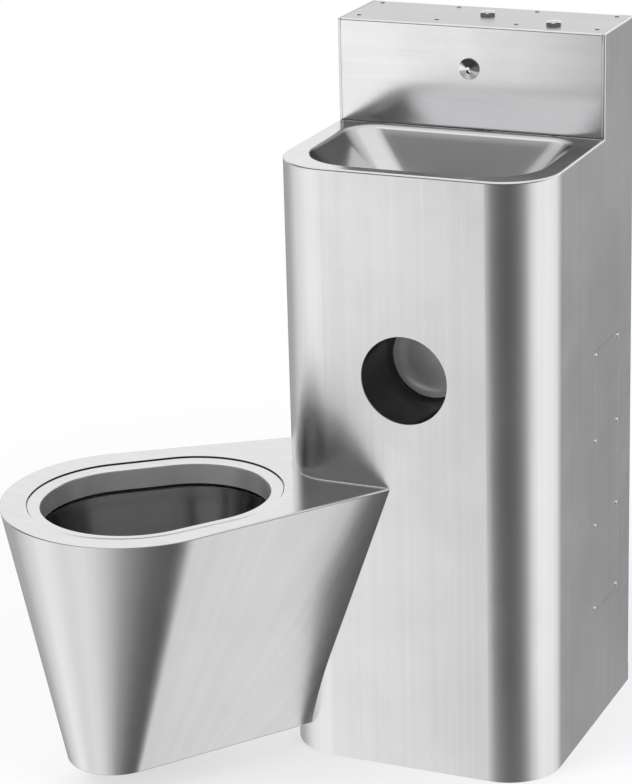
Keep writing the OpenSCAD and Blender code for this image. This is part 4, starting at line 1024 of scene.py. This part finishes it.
def seat_ring(p, matrix, grow, z):
    """The seat opening's outline, grown, at a height."""
    return twin_ring(matrix, z, p.nose, p.seat_nose_radius + grow, p.seat_heel, p.seat_heel_radius + grow)


def build_pan_deck(c, p):
    """The pan's deck with its rounded edge, the sunken seat ledge and the collar."""
    matrix, r, z = pan_matrix(c), p.rim, p.height
    rings = [skirt_level(c, p, matrix, z - r)]
    rings += [deck_section(c, p, matrix, z - r + v, r - u) for u, v in polars(r, range(15, 91, 15))]
    flat = deck_section(c, p, matrix, z, r + 1.2 * MM)
    sheet = Sheet()
    sheet.loft([*rings, flat], closed=False)
    sheet.fill(flat + wall_path(c, flat[-1], flat[0], z), seat_ring(p, matrix, LEDGE[0][0] * MM, z))
    section = list(LEDGE)
    section += [(COLLAR_EDGE - v, COLLAR_DROP + COLLAR_EDGE - u) for u, v in polars(COLLAR_EDGE, range(0, 91, 10))]
    section += [(0, 10), (0, 36)]
    sheet.loft([seat_ring(p, matrix, grow * MM, z - drop * MM) for grow, drop in section])
    mesh = sheet.mesh("pan_deck", matrix @ Vector((p.nose + p.nose_radius - 12 * MM, 0, z)), (0, 0, 1))
    deck = place_piece("pan_deck", mesh, ["polished deck steel", "painted shade steel", "collar steel"])
    thicken(deck, c.sheet)

    def slot_of(face):
        drop = z - face.center.z
        shaded_groove = 2.9 * MM < drop < 4.95 * MM and abs(face.normal.z) < 0.97
        # the steep faces of the ledge's step take the near-black painted shade, the collar below takes its own steel
        return 1 if shaded_groove else 2 if drop > 7.6 * MM else 0

    paint(deck, slot_of)
    finish_piece(deck, UNIT, "polished_steel", "toilet_deck")


def build_pan_bowl(c, p):
    """The pan's bowl from its flange under the rim down to the sump."""
    matrix = pan_matrix(c)
    low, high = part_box("toilet_bowl")
    belly_z, belly_nose_radius, belly_heel_radius = 0.230, 0.094, 0.084
    sump, sump_z, sump_place = 0.038, 0.152, 0.107  # radius, height, and distance along the pan's axis
    belly = twin_ring(matrix, belly_z, p.nose - 8 * MM, belly_nose_radius, p.seat_heel, belly_heel_radius)
    centre = matrix @ Vector((sump_place, 0, 0))
    rings = [seat_ring(p, matrix, 14 * MM, high.z), seat_ring(p, matrix, 4 * MM, high.z)]
    floor, outlet = disc(belly, centre, sump, sump_z), disc(belly, centre, sump, low.z)
    top = seat_ring(p, matrix, 2 * MM, high.z)
    rings += bowl_rings(top, belly, floor, outlet, ease_mid=0.35, ease_low=0.5, lead=8)
    sheet = Sheet()
    sheet.loft(rings)
    mesh = sheet.mesh("pan_bowl", belly[0] + Vector((0, 0, 0.02)), (1, 1, 0.5))
    bowl = place_piece("pan_bowl", mesh, ["shaded pan steel"], 45)
    thicken(bowl, c.sheet, 45)
    finish_piece(bowl, UNIT, "polished_steel", "toilet_bowl")


# Spout and buttons


def build_spout(c):
    """The spout's coned disc with its slanted water hole, and the shank behind it."""
    r, z, y = (SPOUT_HIGH.x - SPOUT_LOW.x) / 2, (SPOUT_LOW.z + SPOUT_HIGH.z) / 2, -c.upstand
    front, back = y - SPOUT_LOW.y, SPOUT_HIGH.y - y
    rim = front - 2.5 * MM
    profile = [
        (0, -back), (9 * MM, -back), (9 * MM, 0), (r - 0.3 * MM, 0), (r, 0.3 * MM), (r, rim - 0.25 * MM),
        (r - 0.08 * MM, rim - 0.07 * MM), (r - 0.3 * MM, rim + 0.02 * MM), (3.6 * MM, front - 0.08 * MM),
        (3.0 * MM, front), (0, front),
    ]
    place = Matrix.Translation((0, y, z)) @ rotation(90, "X")
    spout = place_piece("spout_disc", lathe(profile, 96, place).mesh("spout_disc"), ["turned steel"], 12)
    jet = Matrix.Translation((0, 0, -2 * MM)) @ place @ rotation(20, "X")
    tool = lathe([(0, -8 * MM), (3 * MM, -8 * MM), (3 * MM, 12 * MM), (0, 12 * MM)], 48, jet)
    cutter = new_object("jet_cutter", tool.mesh("jet_cutter"))
    cut = spout.modifiers.new("Jet", "BOOLEAN")
    cut.operation, cut.solver, cut.object = "DIFFERENCE", "EXACT", cutter
    freeze(spout)
    bpy.data.objects.remove(cutter)
    set_materials(spout, "turned steel", "painted shade steel")
    to_jet = jet.inverted()

    # the faces inside the water hole take the near-black painted shade of the bore
    def in_bore(face):
        p = to_jet @ face.center
        facing = (to_jet @ (face.center + face.normal)).z - p.z
        return math.hypot(p.x, p.y) < 3.02 * MM and p.z < 11 * MM and facing < 0.5

    paint(spout, in_bore)
    finish_mesh(spout.data, 12)
    finish_piece(spout, UNIT, "bright_steel", "spout_nozzle")


def build_bezel(c, node, name):
    """A six-sided chamfered head on a round barrel."""
    lo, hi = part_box(node)
    (x, y, _), top, base = middle(lo, hi), hi.z, c.height
    half, bore, barrel, barrel_bore = 10 * MM, 6.3 * MM, 9 * MM, 7.8 * MM
    steps, turned = 84, math.radians(14 - 90)  # a corner of the head points 14 degrees to the right of the front
    angles = [2 * math.pi * i / steps for i in range(steps)]

    def ring(radius, height):
        """A ring whose radius may follow the angle, and its height the radius."""
        points = []
        for a in angles:
            r = radius(a) if callable(radius) else radius
            z = height(r) if callable(height) else height
            points.append((x + r * math.cos(a + turned), y + r * math.sin(a + turned), z))
        return points

    def flats(a):
        return hexagon(half, a)

    def chamfer(r):
        return top - max(0.0, r - half + 0.35 * MM) * 0.55

    rows = (
        (barrel, lo.z), (barrel, base - 0.2 * MM), (flats, base + 0.05 * MM), (flats, lambda r: chamfer(r) - 0.15 * MM),
        (lambda a: flats(a) - 0.15 * MM, chamfer), (half - 0.35 * MM, top), (half - 0.8 * MM, top),
        (bore + 0.5 * MM, top), (bore + 0.15 * MM, top - 0.1 * MM), (bore, top - 0.35 * MM), (bore, top - 4 * MM),
        (barrel_bore, top - 4.05 * MM), (barrel_bore, lo.z),
    )
    sheet = Sheet()
    sheet.skin(sheet.loft([ring(*row) for row in rows]), list(range(steps)))
    bezel = place_piece(name, sheet.mesh(name), ["turned steel"], 18)
    finish_piece(bezel, UNIT, "bright_steel", node)


def build_button(node, name, body):
    """The moving crown with a dimple, its stop flange and stem."""
    lo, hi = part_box(node)
    (x, y, _), top, r = middle(lo, hi), hi.z, 6 * MM
    profile = [
        (0, lo.z), (2.6 * MM, lo.z), (3 * MM, lo.z + 0.4 * MM), (3 * MM, top - 8.5 * MM), (7.3 * MM, top - 8.5 * MM),
        (7.5 * MM, top - 8.3 * MM), (7.5 * MM, top - 5.7 * MM), (7.3 * MM, top - 5.5 * MM), (r, top - 5.5 * MM),
        (r, top - 1.1 * MM),
    ]
    crown = polars(1, range(15, 76, 15))
    profile += [(r - 1.2 * MM + 1.2 * MM * cos, top - 1.1 * MM + 0.9 * MM * sin) for cos, sin in crown]
    profile += [
        (3.6 * MM, top - 0.08 * MM), (1.1 * MM, top), (0.8 * MM, top - 0.12 * MM), (0.5 * MM, top - 0.45 * MM),
        (0, top - 0.6 * MM),
    ]
    mesh = lathe(profile, 64, Matrix.Translation((x, y, 0))).mesh(name)
    finish_piece(place_piece(name, mesh, ["turned steel"], 28), body, "bright_steel", node)


def build_buttons(c):
    """Both heads, then both buttons."""
    for name in ("basin", "flush"):
        build_bezel(c, name + "_button_bezel", name + "_bezel")
    for name in ("basin", "flush"):
        build_button(name + "_button", name + "_crown", name + "_push")


# Geometry node trees


def geometry_tree(name, inputs):
    """A geometry node tree with named inputs and a material, as (builder, sockets given, output node)."""
    group = bpy.data.node_groups.new(name, "GeometryNodeTree")
    group.interface.new_socket("Geometry", in_out="INPUT", socket_type="NodeSocketGeometry")
    add_inputs(group, inputs)
    group.interface.new_socket("Material", in_out="INPUT", socket_type="NodeSocketMaterial")
    group.interface.new_socket("Geometry", in_out="OUTPUT", socket_type="NodeSocketGeometry")
    tree = Tree(group)
    return tree, tree.add("NodeGroupInput").outputs, tree.add("NodeGroupOutput")


def end_tree(tree, given, out, geometry):
    """Realizes what was made, sets its material and puts it out."""
    real = tree.add("GeometryNodeRealizeInstances", {"Geometry": geometry})
    painted = tree.add("GeometryNodeSetMaterial", {"Geometry": real.outputs[0], "Material": given["Material"]})
    tree.feed(out.inputs["Geometry"], painted.outputs[0])
    return tree.tree


def run_tree(obj, group, values, material):
    """Runs a geometry node tree on an object and keeps its result as a plain mesh."""
    modifier = obj.modifiers.new(group.name, "NODES")
    modifier.node_group = group
    items = group.interface.items_tree
    sockets = {i.name: i.identifier for i in items if i.item_type == "SOCKET" and i.in_out == "INPUT"}
    for label, value in {**values, "Material": MATERIALS[material]}.items():
        modifier[sockets[label]] = value
    freeze(obj)


def wire_along(tree, curve, resolution, radius):
    """Round wire along a curve."""
    profile = tree.add("GeometryNodeCurvePrimitiveCircle", {"Resolution": resolution, "Radius": radius}, mode="RADIUS")
    values = {"Curve": curve, "Profile Curve": profile.outputs[0], "Fill Caps": True}
    return tree.add("GeometryNodeCurveToMesh", values)


def screw_field():
    """Rows of one screw, each turned by chance."""
    inputs = {"Columns": 4, "Rows": 2, "Pitch": 0.1, "Row gap": 0.08, "Turn": 0.7, "Seed": 3}
    tree, given, out = geometry_tree("Screw field", inputs)
    wide, high = (
        tree.math("MULTIPLY", tree.math("SUBTRACT", given[number], 1.0), given[step])
        for number, step in (("Columns", "Pitch"), ("Rows", "Row gap"))
    )
    values = {"Size X": wide, "Size Y": high, "Vertices X": given["Columns"], "Vertices Y": given["Rows"]}
    grid = tree.add("GeometryNodeMeshGrid", values)
    spin = tree.add("FunctionNodeRandomValue", {"Seed": given["Seed"]}, data_type="FLOAT")
    tree.feed(spin.inputs[3], given["Turn"])
    turned = tree.add("ShaderNodeCombineXYZ", {"Z": spin.outputs[1]})
    values = {"Points": grid.outputs["Mesh"], "Instance": given["Geometry"], "Rotation": turned.outputs[0]}
    return end_tree(tree, given, out, tree.add("GeometryNodeInstanceOnPoints", values).outputs[0])


def spring_tree():
    """A coil of round wire."""
    inputs = {"Turns": 6.0, "Radius": 0.005, "Height": 0.02, "Wire": 0.0006}
    tree, given, out = geometry_tree("Coil spring", inputs)
    values = {"Resolution": 28, "Rotations": given["Turns"], "Start Radius": given["Radius"]}
    values |= {"End Radius": given["Radius"], "Height": given["Height"]}
    coil = tree.add("GeometryNodeCurveSpiral", values)
    return end_tree(tree, given, out, wire_along(tree, coil.outputs[0], 10, given["Wire"]).outputs[0])


def strainer_tree():
    """Two rings of holes punched through a disc."""
    tree, given, out = geometry_tree("Strainer holes", {"Inner ring": 0.008, "Outer ring": 0.016, "Hole": 0.0024})
    punch = tree.add("GeometryNodeMeshCylinder", {"Vertices": 24, "Radius": given["Hole"], "Depth": 0.02})
    both = tree.add("GeometryNodeJoinGeometry")
    for number, label in ((6, "Inner ring"), (12, "Outer ring")):
        ring = tree.add("GeometryNodeMeshCircle", {"Vertices": number, "Radius": given[label]})
        values = {"Points": ring.outputs[0], "Instance": punch.outputs["Mesh"]}
        tree.feed(both.inputs[0], tree.add("GeometryNodeInstanceOnPoints", values).outputs[0])
    tools = tree.add("GeometryNodeRealizeInstances", {"Geometry": both.outputs[0]})
    cut = tree.add("GeometryNodeMeshBoolean", operation="DIFFERENCE", solver="EXACT")
    tree.feed(cut.inputs["Mesh 1"], given["Geometry"])
    tree.feed(cut.inputs["Mesh 2"], tools.outputs[0])
    return end_tree(tree, given, out, cut.outputs["Mesh"])


def bead_tree():
    """A weld bead with a rippled section along a path."""
    tree, given, out = geometry_tree("Weld bead", {"Radius": 0.0011, "Step": 0.002, "Ripple": 0.25})
    path = tree.add("GeometryNodeMeshToCurve", {"Mesh": given["Geometry"]})
    even = tree.add("GeometryNodeResampleCurve", {"Curve": path.outputs[0], "Length": given["Step"]}, mode="LENGTH")
    noise = tree.add("ShaderNodeTexNoise", {"Scale": 260.0, "Detail": 1.0})
    whole = tree.math("ADD", tree.math("MULTIPLY", noise.outputs["Fac"], given["Ripple"]), 1.0)
    thick = tree.add("GeometryNodeSetCurveRadius", {"Curve": even.outputs[0], "Radius": whole})
    solid = wire_along(tree, thick.outputs[0], 8, given["Radius"])
    if "Scale" in solid.inputs:
        tree.feed(solid.inputs["Scale"], whole)
    return end_tree(tree, given, out, solid.outputs[0])


# Screws, springs, strainer and weld


def screw_head():
    """A low screw with a six-sided key, its head above z = 0."""
    steps, key = 36, 1.3 * MM

    def key_ring(half, z):
        angles = [2 * math.pi * i / steps for i in range(steps)]
        return [(r * math.cos(a), r * math.sin(a), z) for r, a in ((hexagon(half * 0.9, a), a) for a in angles)]

    rows = [
        (2 * MM, -8 * MM), (2 * MM, 0), (SCREW_HEAD - 0.1 * MM, 0), (SCREW_HEAD, 0.1 * MM), (SCREW_HEAD, 0.6 * MM)
    ]
    dome = polars(1, (15, 30, 45, 60, 75, 90))
    rows += [(SCREW_HEAD - 1.3 * MM * (1 - cos), 0.6 * MM + 1.2 * MM * sin) for cos, sin in dome]
    rings = [circle(r, z, steps) for r, z in rows]
    rings += [key_ring(key + 0.1 * MM, 1.8 * MM), key_ring(key, 1.7 * MM), key_ring(key, 0.7 * MM)]
    sheet = Sheet()
    sheet.closed_loft(rings)
    return sheet.mesh("screw_head")


def place_screws(name, node, group, place, along, across):
    """Runs the screw field between the outermost screws and puts it in place."""
    obj = new_object(name, screw_head())
    values = {"Columns": 4, "Rows": 2, "Pitch": (along - 2 * SCREW_HEAD) / 3, "Row gap": across - 2 * SCREW_HEAD}
    run_tree(obj, group, {**values, "Turn": 1.0, "Seed": 3}, "turned steel")
    obj.data.transform(place)
    finish_mesh(obj.data, 30)
    finish_piece(obj, UNIT, "bright_steel", node)


def build_screws(c):
    """Eight cover screws and eight panel screws."""
    group = screw_field()
    lo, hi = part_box("cover_screws")
    x, y, _ = middle(lo, hi)
    place = Matrix.Translation((x, y, c.height))
    place_screws("cover_screw_rows", "cover_screws", group, place, hi.x - lo.x, hi.y - lo.y)
    lo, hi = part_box("access_panel_screws")
    _, y, z = middle(lo, hi)
    place = Matrix.Translation((c.width / 2, y, z)) @ rotation(90, "Y")
    place_screws("panel_screw_rows", "access_panel_screws", group, place, hi.z - lo.z, hi.y - lo.y)


def build_springs():
    """The two return springs under the push-buttons; each gives way by its button's travel of 4 mm."""
    group, wire = spring_tree(), 0.6 * MM
    for node, joint in (("basin_button_spring", "basin_slide"), ("flush_button_spring", "flush_slide")):
        lo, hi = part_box(node)
        x, y, _ = middle(lo, hi)
        obj = new_object(node + "_coil", bpy.data.meshes.new(node))
        values = {"Turns": 6.0, "Radius": (hi.x - lo.x) / 2 - wire, "Height": hi.z - lo.z - 2 * wire, "Wire": wire}
        run_tree(obj, group, values, "spring wire")
        obj.data.transform(Matrix.Translation((x, y, lo.z + wire)))
        finish_mesh(obj.data, 60)
        finish_piece(obj, UNIT, "spring_steel", node)
        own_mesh(obj)


def build_strainer():
    """The perforated strainer over the basin's drain."""
    lo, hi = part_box("waste_grid")
    (x, y, _), r, t = middle(lo, hi), (hi.x - lo.x) / 2, hi.z - lo.z
    profile = [
        (0, 0), (r - 0.2 * MM, 0), (r, 0.2 * MM), (r, t * 0.5), (r - 0.3 * MM, t * 0.62), (r - 2 * MM, t - 0.1 * MM),
        (r - 2.6 * MM, t), (0, t),
    ]
    obj = place_piece("strainer_disc", lathe(profile, 72).mesh("strainer_disc"), ["turned steel"])
    values = {"Inner ring": 8 * MM, "Outer ring": 16 * MM, "Hole": 2.4 * MM}
    run_tree(obj, strainer_tree(), values, "turned steel")
    obj.data.transform(Matrix.Translation((x, y, lo.z)))
    finish_mesh(obj.data, 30)
    finish_piece(obj, UNIT, "bright_steel", "waste_grid")


def build_welds(c, p):
    """The thin bead along the joint of the pan's deck and the cabinet."""
    ends = deck_section(c, p, pan_matrix(c), 0, 2 * MM, inset=0.0)
    z = p.height + 0.1 * MM
    first, last = (Vector((q.x, q.y, z)) for q in (ends[-1], ends[0]))
    path = [first, *wall_path(c, ends[-1], ends[0], z, 0.0, 30), last]
    mesh = bpy.data.meshes.new("deck_weld")
    mesh.from_pydata(path, [(i, i + 1) for i in range(len(path) - 1)], [])
    obj = new_object("deck_weld", mesh)
    run_tree(obj, bead_tree(), {"Radius": 0.9 * MM, "Step": 2 * MM, "Ripple": 0.35}, "weld")
    finish_mesh(obj.data, 60)
    finish_piece(obj, UNIT, "satin_steel")


# Studio

# Brightness of what the steel mirrors, by bearing in degrees to the right of the front: far below the horizon
# (FAR), just below it (EYE), and low down close to the object (NEAR)
FAR_BOARDS = (
    (-180, 0.25), (-150, 0.30), (-130, 0.42), (-108, 0.45), (-84, 0.80), (-60, 1.0), (-46, 1.08), (-22, 1.04),
    (-19.5, 0.92), (-17.5, 0.70), (-14, 0.40), (-9, 0.26), (6, 0.15), (20, 0.11), (34, 0.13), (48, 0.22),
    (60, 0.42), (72, 0.86), (86, 1.08), (118, 1.02), (138, 0.92), (149, 0.62), (157, 0.36), (166, 0.22), (180, 0.22),
)
EYE_BOARDS = (
    (-180, 0.25), (-150, 0.30), (-130, 0.42), (-108, 0.45), (-84, 0.85), (-60, 1.0), (-40, 1.10), (-26, 1.10),
    (-22.5, 1.20), (-20.4, 1.34), (-19.2, 0.95), (-17.6, 0.42), (-14, 0.24), (6, 0.15), (20, 0.11), (34, 0.13),
    (48, 0.22), (60, 0.42), (72, 0.86), (86, 1.08), (118, 1.02), (138, 0.95), (149, 0.70), (157, 0.44),
    (166, 0.26), (180, 0.22),
)
NEAR_BOARDS = (
    (-180, 0.2), (-132, 0.25), (-112, 0.70), (-90, 0.88), (-70, 1.05), (-48, 0.80), (-26, 0.90), (-6, 0.70),
    (14, 0.36), (40, 0.16), (74, 0.08), (86, 0.2), (93, 0.86), (124, 0.88), (150, 0.3), (180, 0.2),
)
# Brightness of the sky over the front, by height in degrees
FRONT_SKY = ((0, 0.04), (12, 0.04), (20, 0.10), (28, 0.38), (38, 0.78), (50, 1.0), (90, 1.0))
WHITE = (1.0, 1.0, 1.0, 1.0)


def build_floor(s):
    """The pale floor, which shows the object's shadow and fades to white away from it."""
    material, tree, place = new_material("Studio floor")
    plain = tree.add("ShaderNodeBsdfDiffuse", {"Color": (*s.floor, 1.0)})
    white = tree.add("ShaderNodeEmission", {"Color": WHITE, "Strength": 1.0})
    reach = tree.add("ShaderNodeVectorMath", {0: place}, operation="LENGTH").outputs["Value"]
    whiter = tree.span(reach, 0.5, 1.6, 0.62, 1.0)  # from 0.62 white at 0.5 m from the middle to 1 at 1.6 m
    soft = tree.either(whiter, plain, white)
    close_material(tree, tree.either(tree.seen(), plain, soft))
    sheet = Sheet()
    sheet.cap(sheet.ring([(x, y, -0.2 * MM) for x, y in arc(0, -0.3, 9.0, 0, 360, 96)[:-1]]))
    mesh = sheet.mesh("studio_floor", (0, 0, 0), (0, 0, 1))
    floor = new_object("studio_floor", mesh)
    mesh.materials.append(material)
    floor.visible_glossy = False


def light_ramp(tree, factor, stops, low, high):
    """Grey levels between two ends of a scale."""
    ramp = tree.add("ShaderNodeValToRGB", {"Fac": factor})
    elements = ramp.color_ramp.elements
    while len(elements) > 1:
        elements.remove(elements[-1])
    for i, (mark, level) in enumerate(stops):
        stop = elements[0] if i == 0 else elements.new((mark - low) / (high - low))
        stop.position = (mark - low) / (high - low)
        stop.color = (level, level, level, 1.0)
    return ramp.outputs["Color"]


def board_shader(tree, place):
    """Light by the direction from the tent's middle. The spans of height, in degrees, blend one table into the next."""
    way = tree.parts(tree.add("ShaderNodeVectorMath", {0: place}, operation="NORMALIZE").outputs[0])
    bearing = tree.math("ARCTAN2", way["X"], tree.math("MULTIPLY", way["Y"], -1.0))
    height = tree.math("MULTIPLY", tree.math("ARCSINE", way["Z"]), 180 / math.pi)
    turned = tree.math("ADD", tree.math("DIVIDE", bearing, 2 * math.pi), 0.5)
    far, eye, near = (light_ramp(tree, turned, stops, -180, 180) for stops in (FAR_BOARDS, EYE_BOARDS, NEAR_BOARDS))
    far = tree.blend(tree.span(height, -16.5, -12.5, 0.0, 1.0), far, eye)
    low = tree.blend(tree.span(height, -42.0, -26.0, 0.0, 1.0), near, far)
    front = light_ramp(tree, tree.math("DIVIDE", height, 90.0, clamp=True), FRONT_SKY, 0, 90)
    behind = tree.span(tree.math("ABSOLUTE", bearing), math.radians(80), math.radians(118), 0.0, 0.96)
    sky = tree.blend(behind, front, WHITE)
    level = tree.blend(tree.span(height, -5.0, 4.0, 0.0, 1.0), low, sky)
    return tree.add("ShaderNodeEmission", {"Color": level, "Strength": 1.0})


def build_boards():
    """A tent of pale and dark boards round the object; only reflections see it."""
    material, tree, place = new_material("Studio boards")
    close_material(tree, board_shader(tree, place))
    material.cycles.emission_sampling = "NONE"
    steps, levels, radius = 96, 48, 14.0
    rows = polars(radius, [-90 + 180 * k / levels for k in range(1, levels)])
    sheet = Sheet()
    sheet.closed_loft([circle(reach, height, steps) for reach, height in rows])
    mesh = sheet.mesh("studio_boards")
    boards = new_object("studio_boards", mesh)
    boards.location = (0, -0.36, 0.5)
    mesh.materials.append(material)
    for kind in ("camera", "diffuse", "transmission", "volume_scatter", "shadow"):
        setattr(boards, "visible_" + kind, False)


def build_lamps():
    """Three large soft lamps, kept out of the reflections."""
    for name, place, size, power in (
        ("studio_key", (-1.6, -2.6, 3.0), 2.2, 70),
        ("studio_side", (2.8, -1.6, 2.2), 1.8, 34),
        ("studio_rear", (0.4, 2.6, 2.6), 2.0, 30),
    ):
        light = bpy.data.lights.new(name, "AREA")
        light.shape, light.size, light.energy = "DISK", size, power
        lamp = new_object(name, light)
        lamp.location = place
        lamp.rotation_euler = (Vector((0, -0.3, 0.5)) - Vector(place)).to_track_quat("-Z", "Y").to_euler()
        lamp.visible_glossy = False


def build_world(s):
    """White where it is seen or reflected, and a plain soft light elsewhere."""
    world = bpy.data.worlds.new("Studio")
    world.use_nodes = True
    world.node_tree.nodes.clear()
    tree = Tree(world.node_tree)
    soft, white = (tree.add("ShaderNodeBackground", {"Color": WHITE, "Strength": level}) for level in (s.ambient, 1.0))
    tree.add("ShaderNodeOutputWorld", {"Surface": tree.either(tree.seen(), soft, white).outputs[0]})
    bpy.context.scene.world = world


def build_camera(s):
    """The camera at the photograph's angle."""
    camera = bpy.data.cameras.new("camera")
    camera.lens, camera.shift_y = s.lens, s.shift
    camera.clip_start, camera.clip_end = 0.05, 60.0
    (level, rise), = polars(1, [math.degrees(s.elevation)])
    back = Vector((math.sin(s.azimuth) * level, -math.cos(s.azimuth) * level, rise))
    right = (-back).cross(Vector((0, 0, 1))).normalized()
    up = right.cross(-back)
    x = right * math.cos(s.roll) + up * math.sin(s.roll)
    y = up * math.cos(s.roll) - right * math.sin(s.roll)
    obj = new_object("camera", camera)
    obj.matrix_world = Matrix.Translation(s.place) @ Matrix((x, y, back)).transposed().to_4x4()
    bpy.context.scene.camera = obj


def build_stage(s):
    """The camera, the studio and its light."""
    build_camera(s)
    build_floor(s)
    build_boards()
    build_lamps()
    build_world(s)


# Operators, panel and registration


def operator(name, label, doc, build, *groups):
    """An operator class that calls build with these property groups of the scene."""

    def execute(self, context):
        build(*(getattr(context.scene, "unit_" + group) for group in groups))
        return {"FINISHED"}

    settings = {"bl_idname": "combi." + name, "bl_label": label, "bl_options": {"REGISTER"}}
    return type("COMBI_OT_" + name, (bpy.types.Operator,), {**settings, "__doc__": doc, "execute": execute})


STEPS = [
    operator("stage", "Stage", "Makes the camera, the studio and its light", build_stage, "stage"),
    operator(
        "finishes", "Finishes", "Makes the materials and dresses the carried-over nodes", build_finishes, "finish"
    ),
    operator("shell", "Cabinet shell", "Makes the wrapped sheet of the cabinet", build_shell, "cabinet"),
    operator("basin", "Basin", "Makes the deck and the bowl of the basin", build_basin, "cabinet", "basin"),
    operator("cover", "Upstand cover", "Makes the folded cover of the upstand", build_cover, "cabinet"),
    operator("panel", "Access panel", "Makes the panel in the right side", build_panel, "cabinet"),
    operator("cup", "Roll recess", "Makes the recess for the paper roll", build_cup, "cabinet"),
    operator("skirt", "Pan skirt", "Makes the tapered skirt of the pan", build_skirt, "cabinet", "pan"),
    operator("pan_deck", "Pan deck", "Makes the pan's deck and seat ledge", build_pan_deck, "cabinet", "pan"),
    operator("pan_bowl", "Pan bowl", "Makes the pan's bowl", build_pan_bowl, "cabinet", "pan"),
    operator("welds", "Welds", "Makes the bead where the pan meets the cabinet", build_welds, "cabinet", "pan"),
    operator("spout", "Spout", "Makes the spout's disc", build_spout, "cabinet"),
    operator("buttons", "Push-buttons", "Makes both push-buttons", build_buttons, "cabinet"),
    operator("screws", "Screws", "Makes the screws of the cover and the side panel", build_screws, "cabinet"),
    operator("springs", "Springs", "Makes the springs of the push-buttons", build_springs),
    operator("strainer", "Strainer", "Makes the basin's strainer", build_strainer),
]


class COMBI_PT_panel(bpy.types.Panel):
    """Sizes, colours and steps of the combination unit."""

    bl_label = "Combination unit"
    bl_idname = "COMBI_PT_panel"
    bl_space_type = "VIEW_3D"
    bl_region_type = "UI"
    bl_category = "Combination unit"

    def draw(self, context):
        for attribute, group in GROUPS.items():
            box = self.layout.box()
            box.label(text=group.__doc__.rstrip("."))
            for prop in group.__annotations__:
                box.prop(getattr(context.scene, attribute), prop)
        for step in STEPS:
            self.layout.operator(step.bl_idname)


def register():
    """Registers the properties, the operators and the panel."""
    for cls in (*GROUPS.values(), *STEPS, COMBI_PT_panel):
        bpy.utils.register_class(cls)
    for attribute, group in GROUPS.items():
        setattr(bpy.types.Scene, attribute, bpy.props.PointerProperty(type=group))


def unregister():
    """Takes them out again."""
    for attribute in GROUPS:
        delattr(bpy.types.Scene, attribute)
    for cls in (COMBI_PT_panel, *reversed(STEPS), *reversed(GROUPS.values())):
        bpy.utils.unregister_class(cls)


def main():
    """Builds the whole scene and writes the two boxes."""
    register()
    bpy.context.scene.view_settings.view_transform = "Standard"
    for step in STEPS:
        getattr(bpy.ops.combi, step.bl_idname.split(".")[1])()


if __name__ == "__main__":
    main()
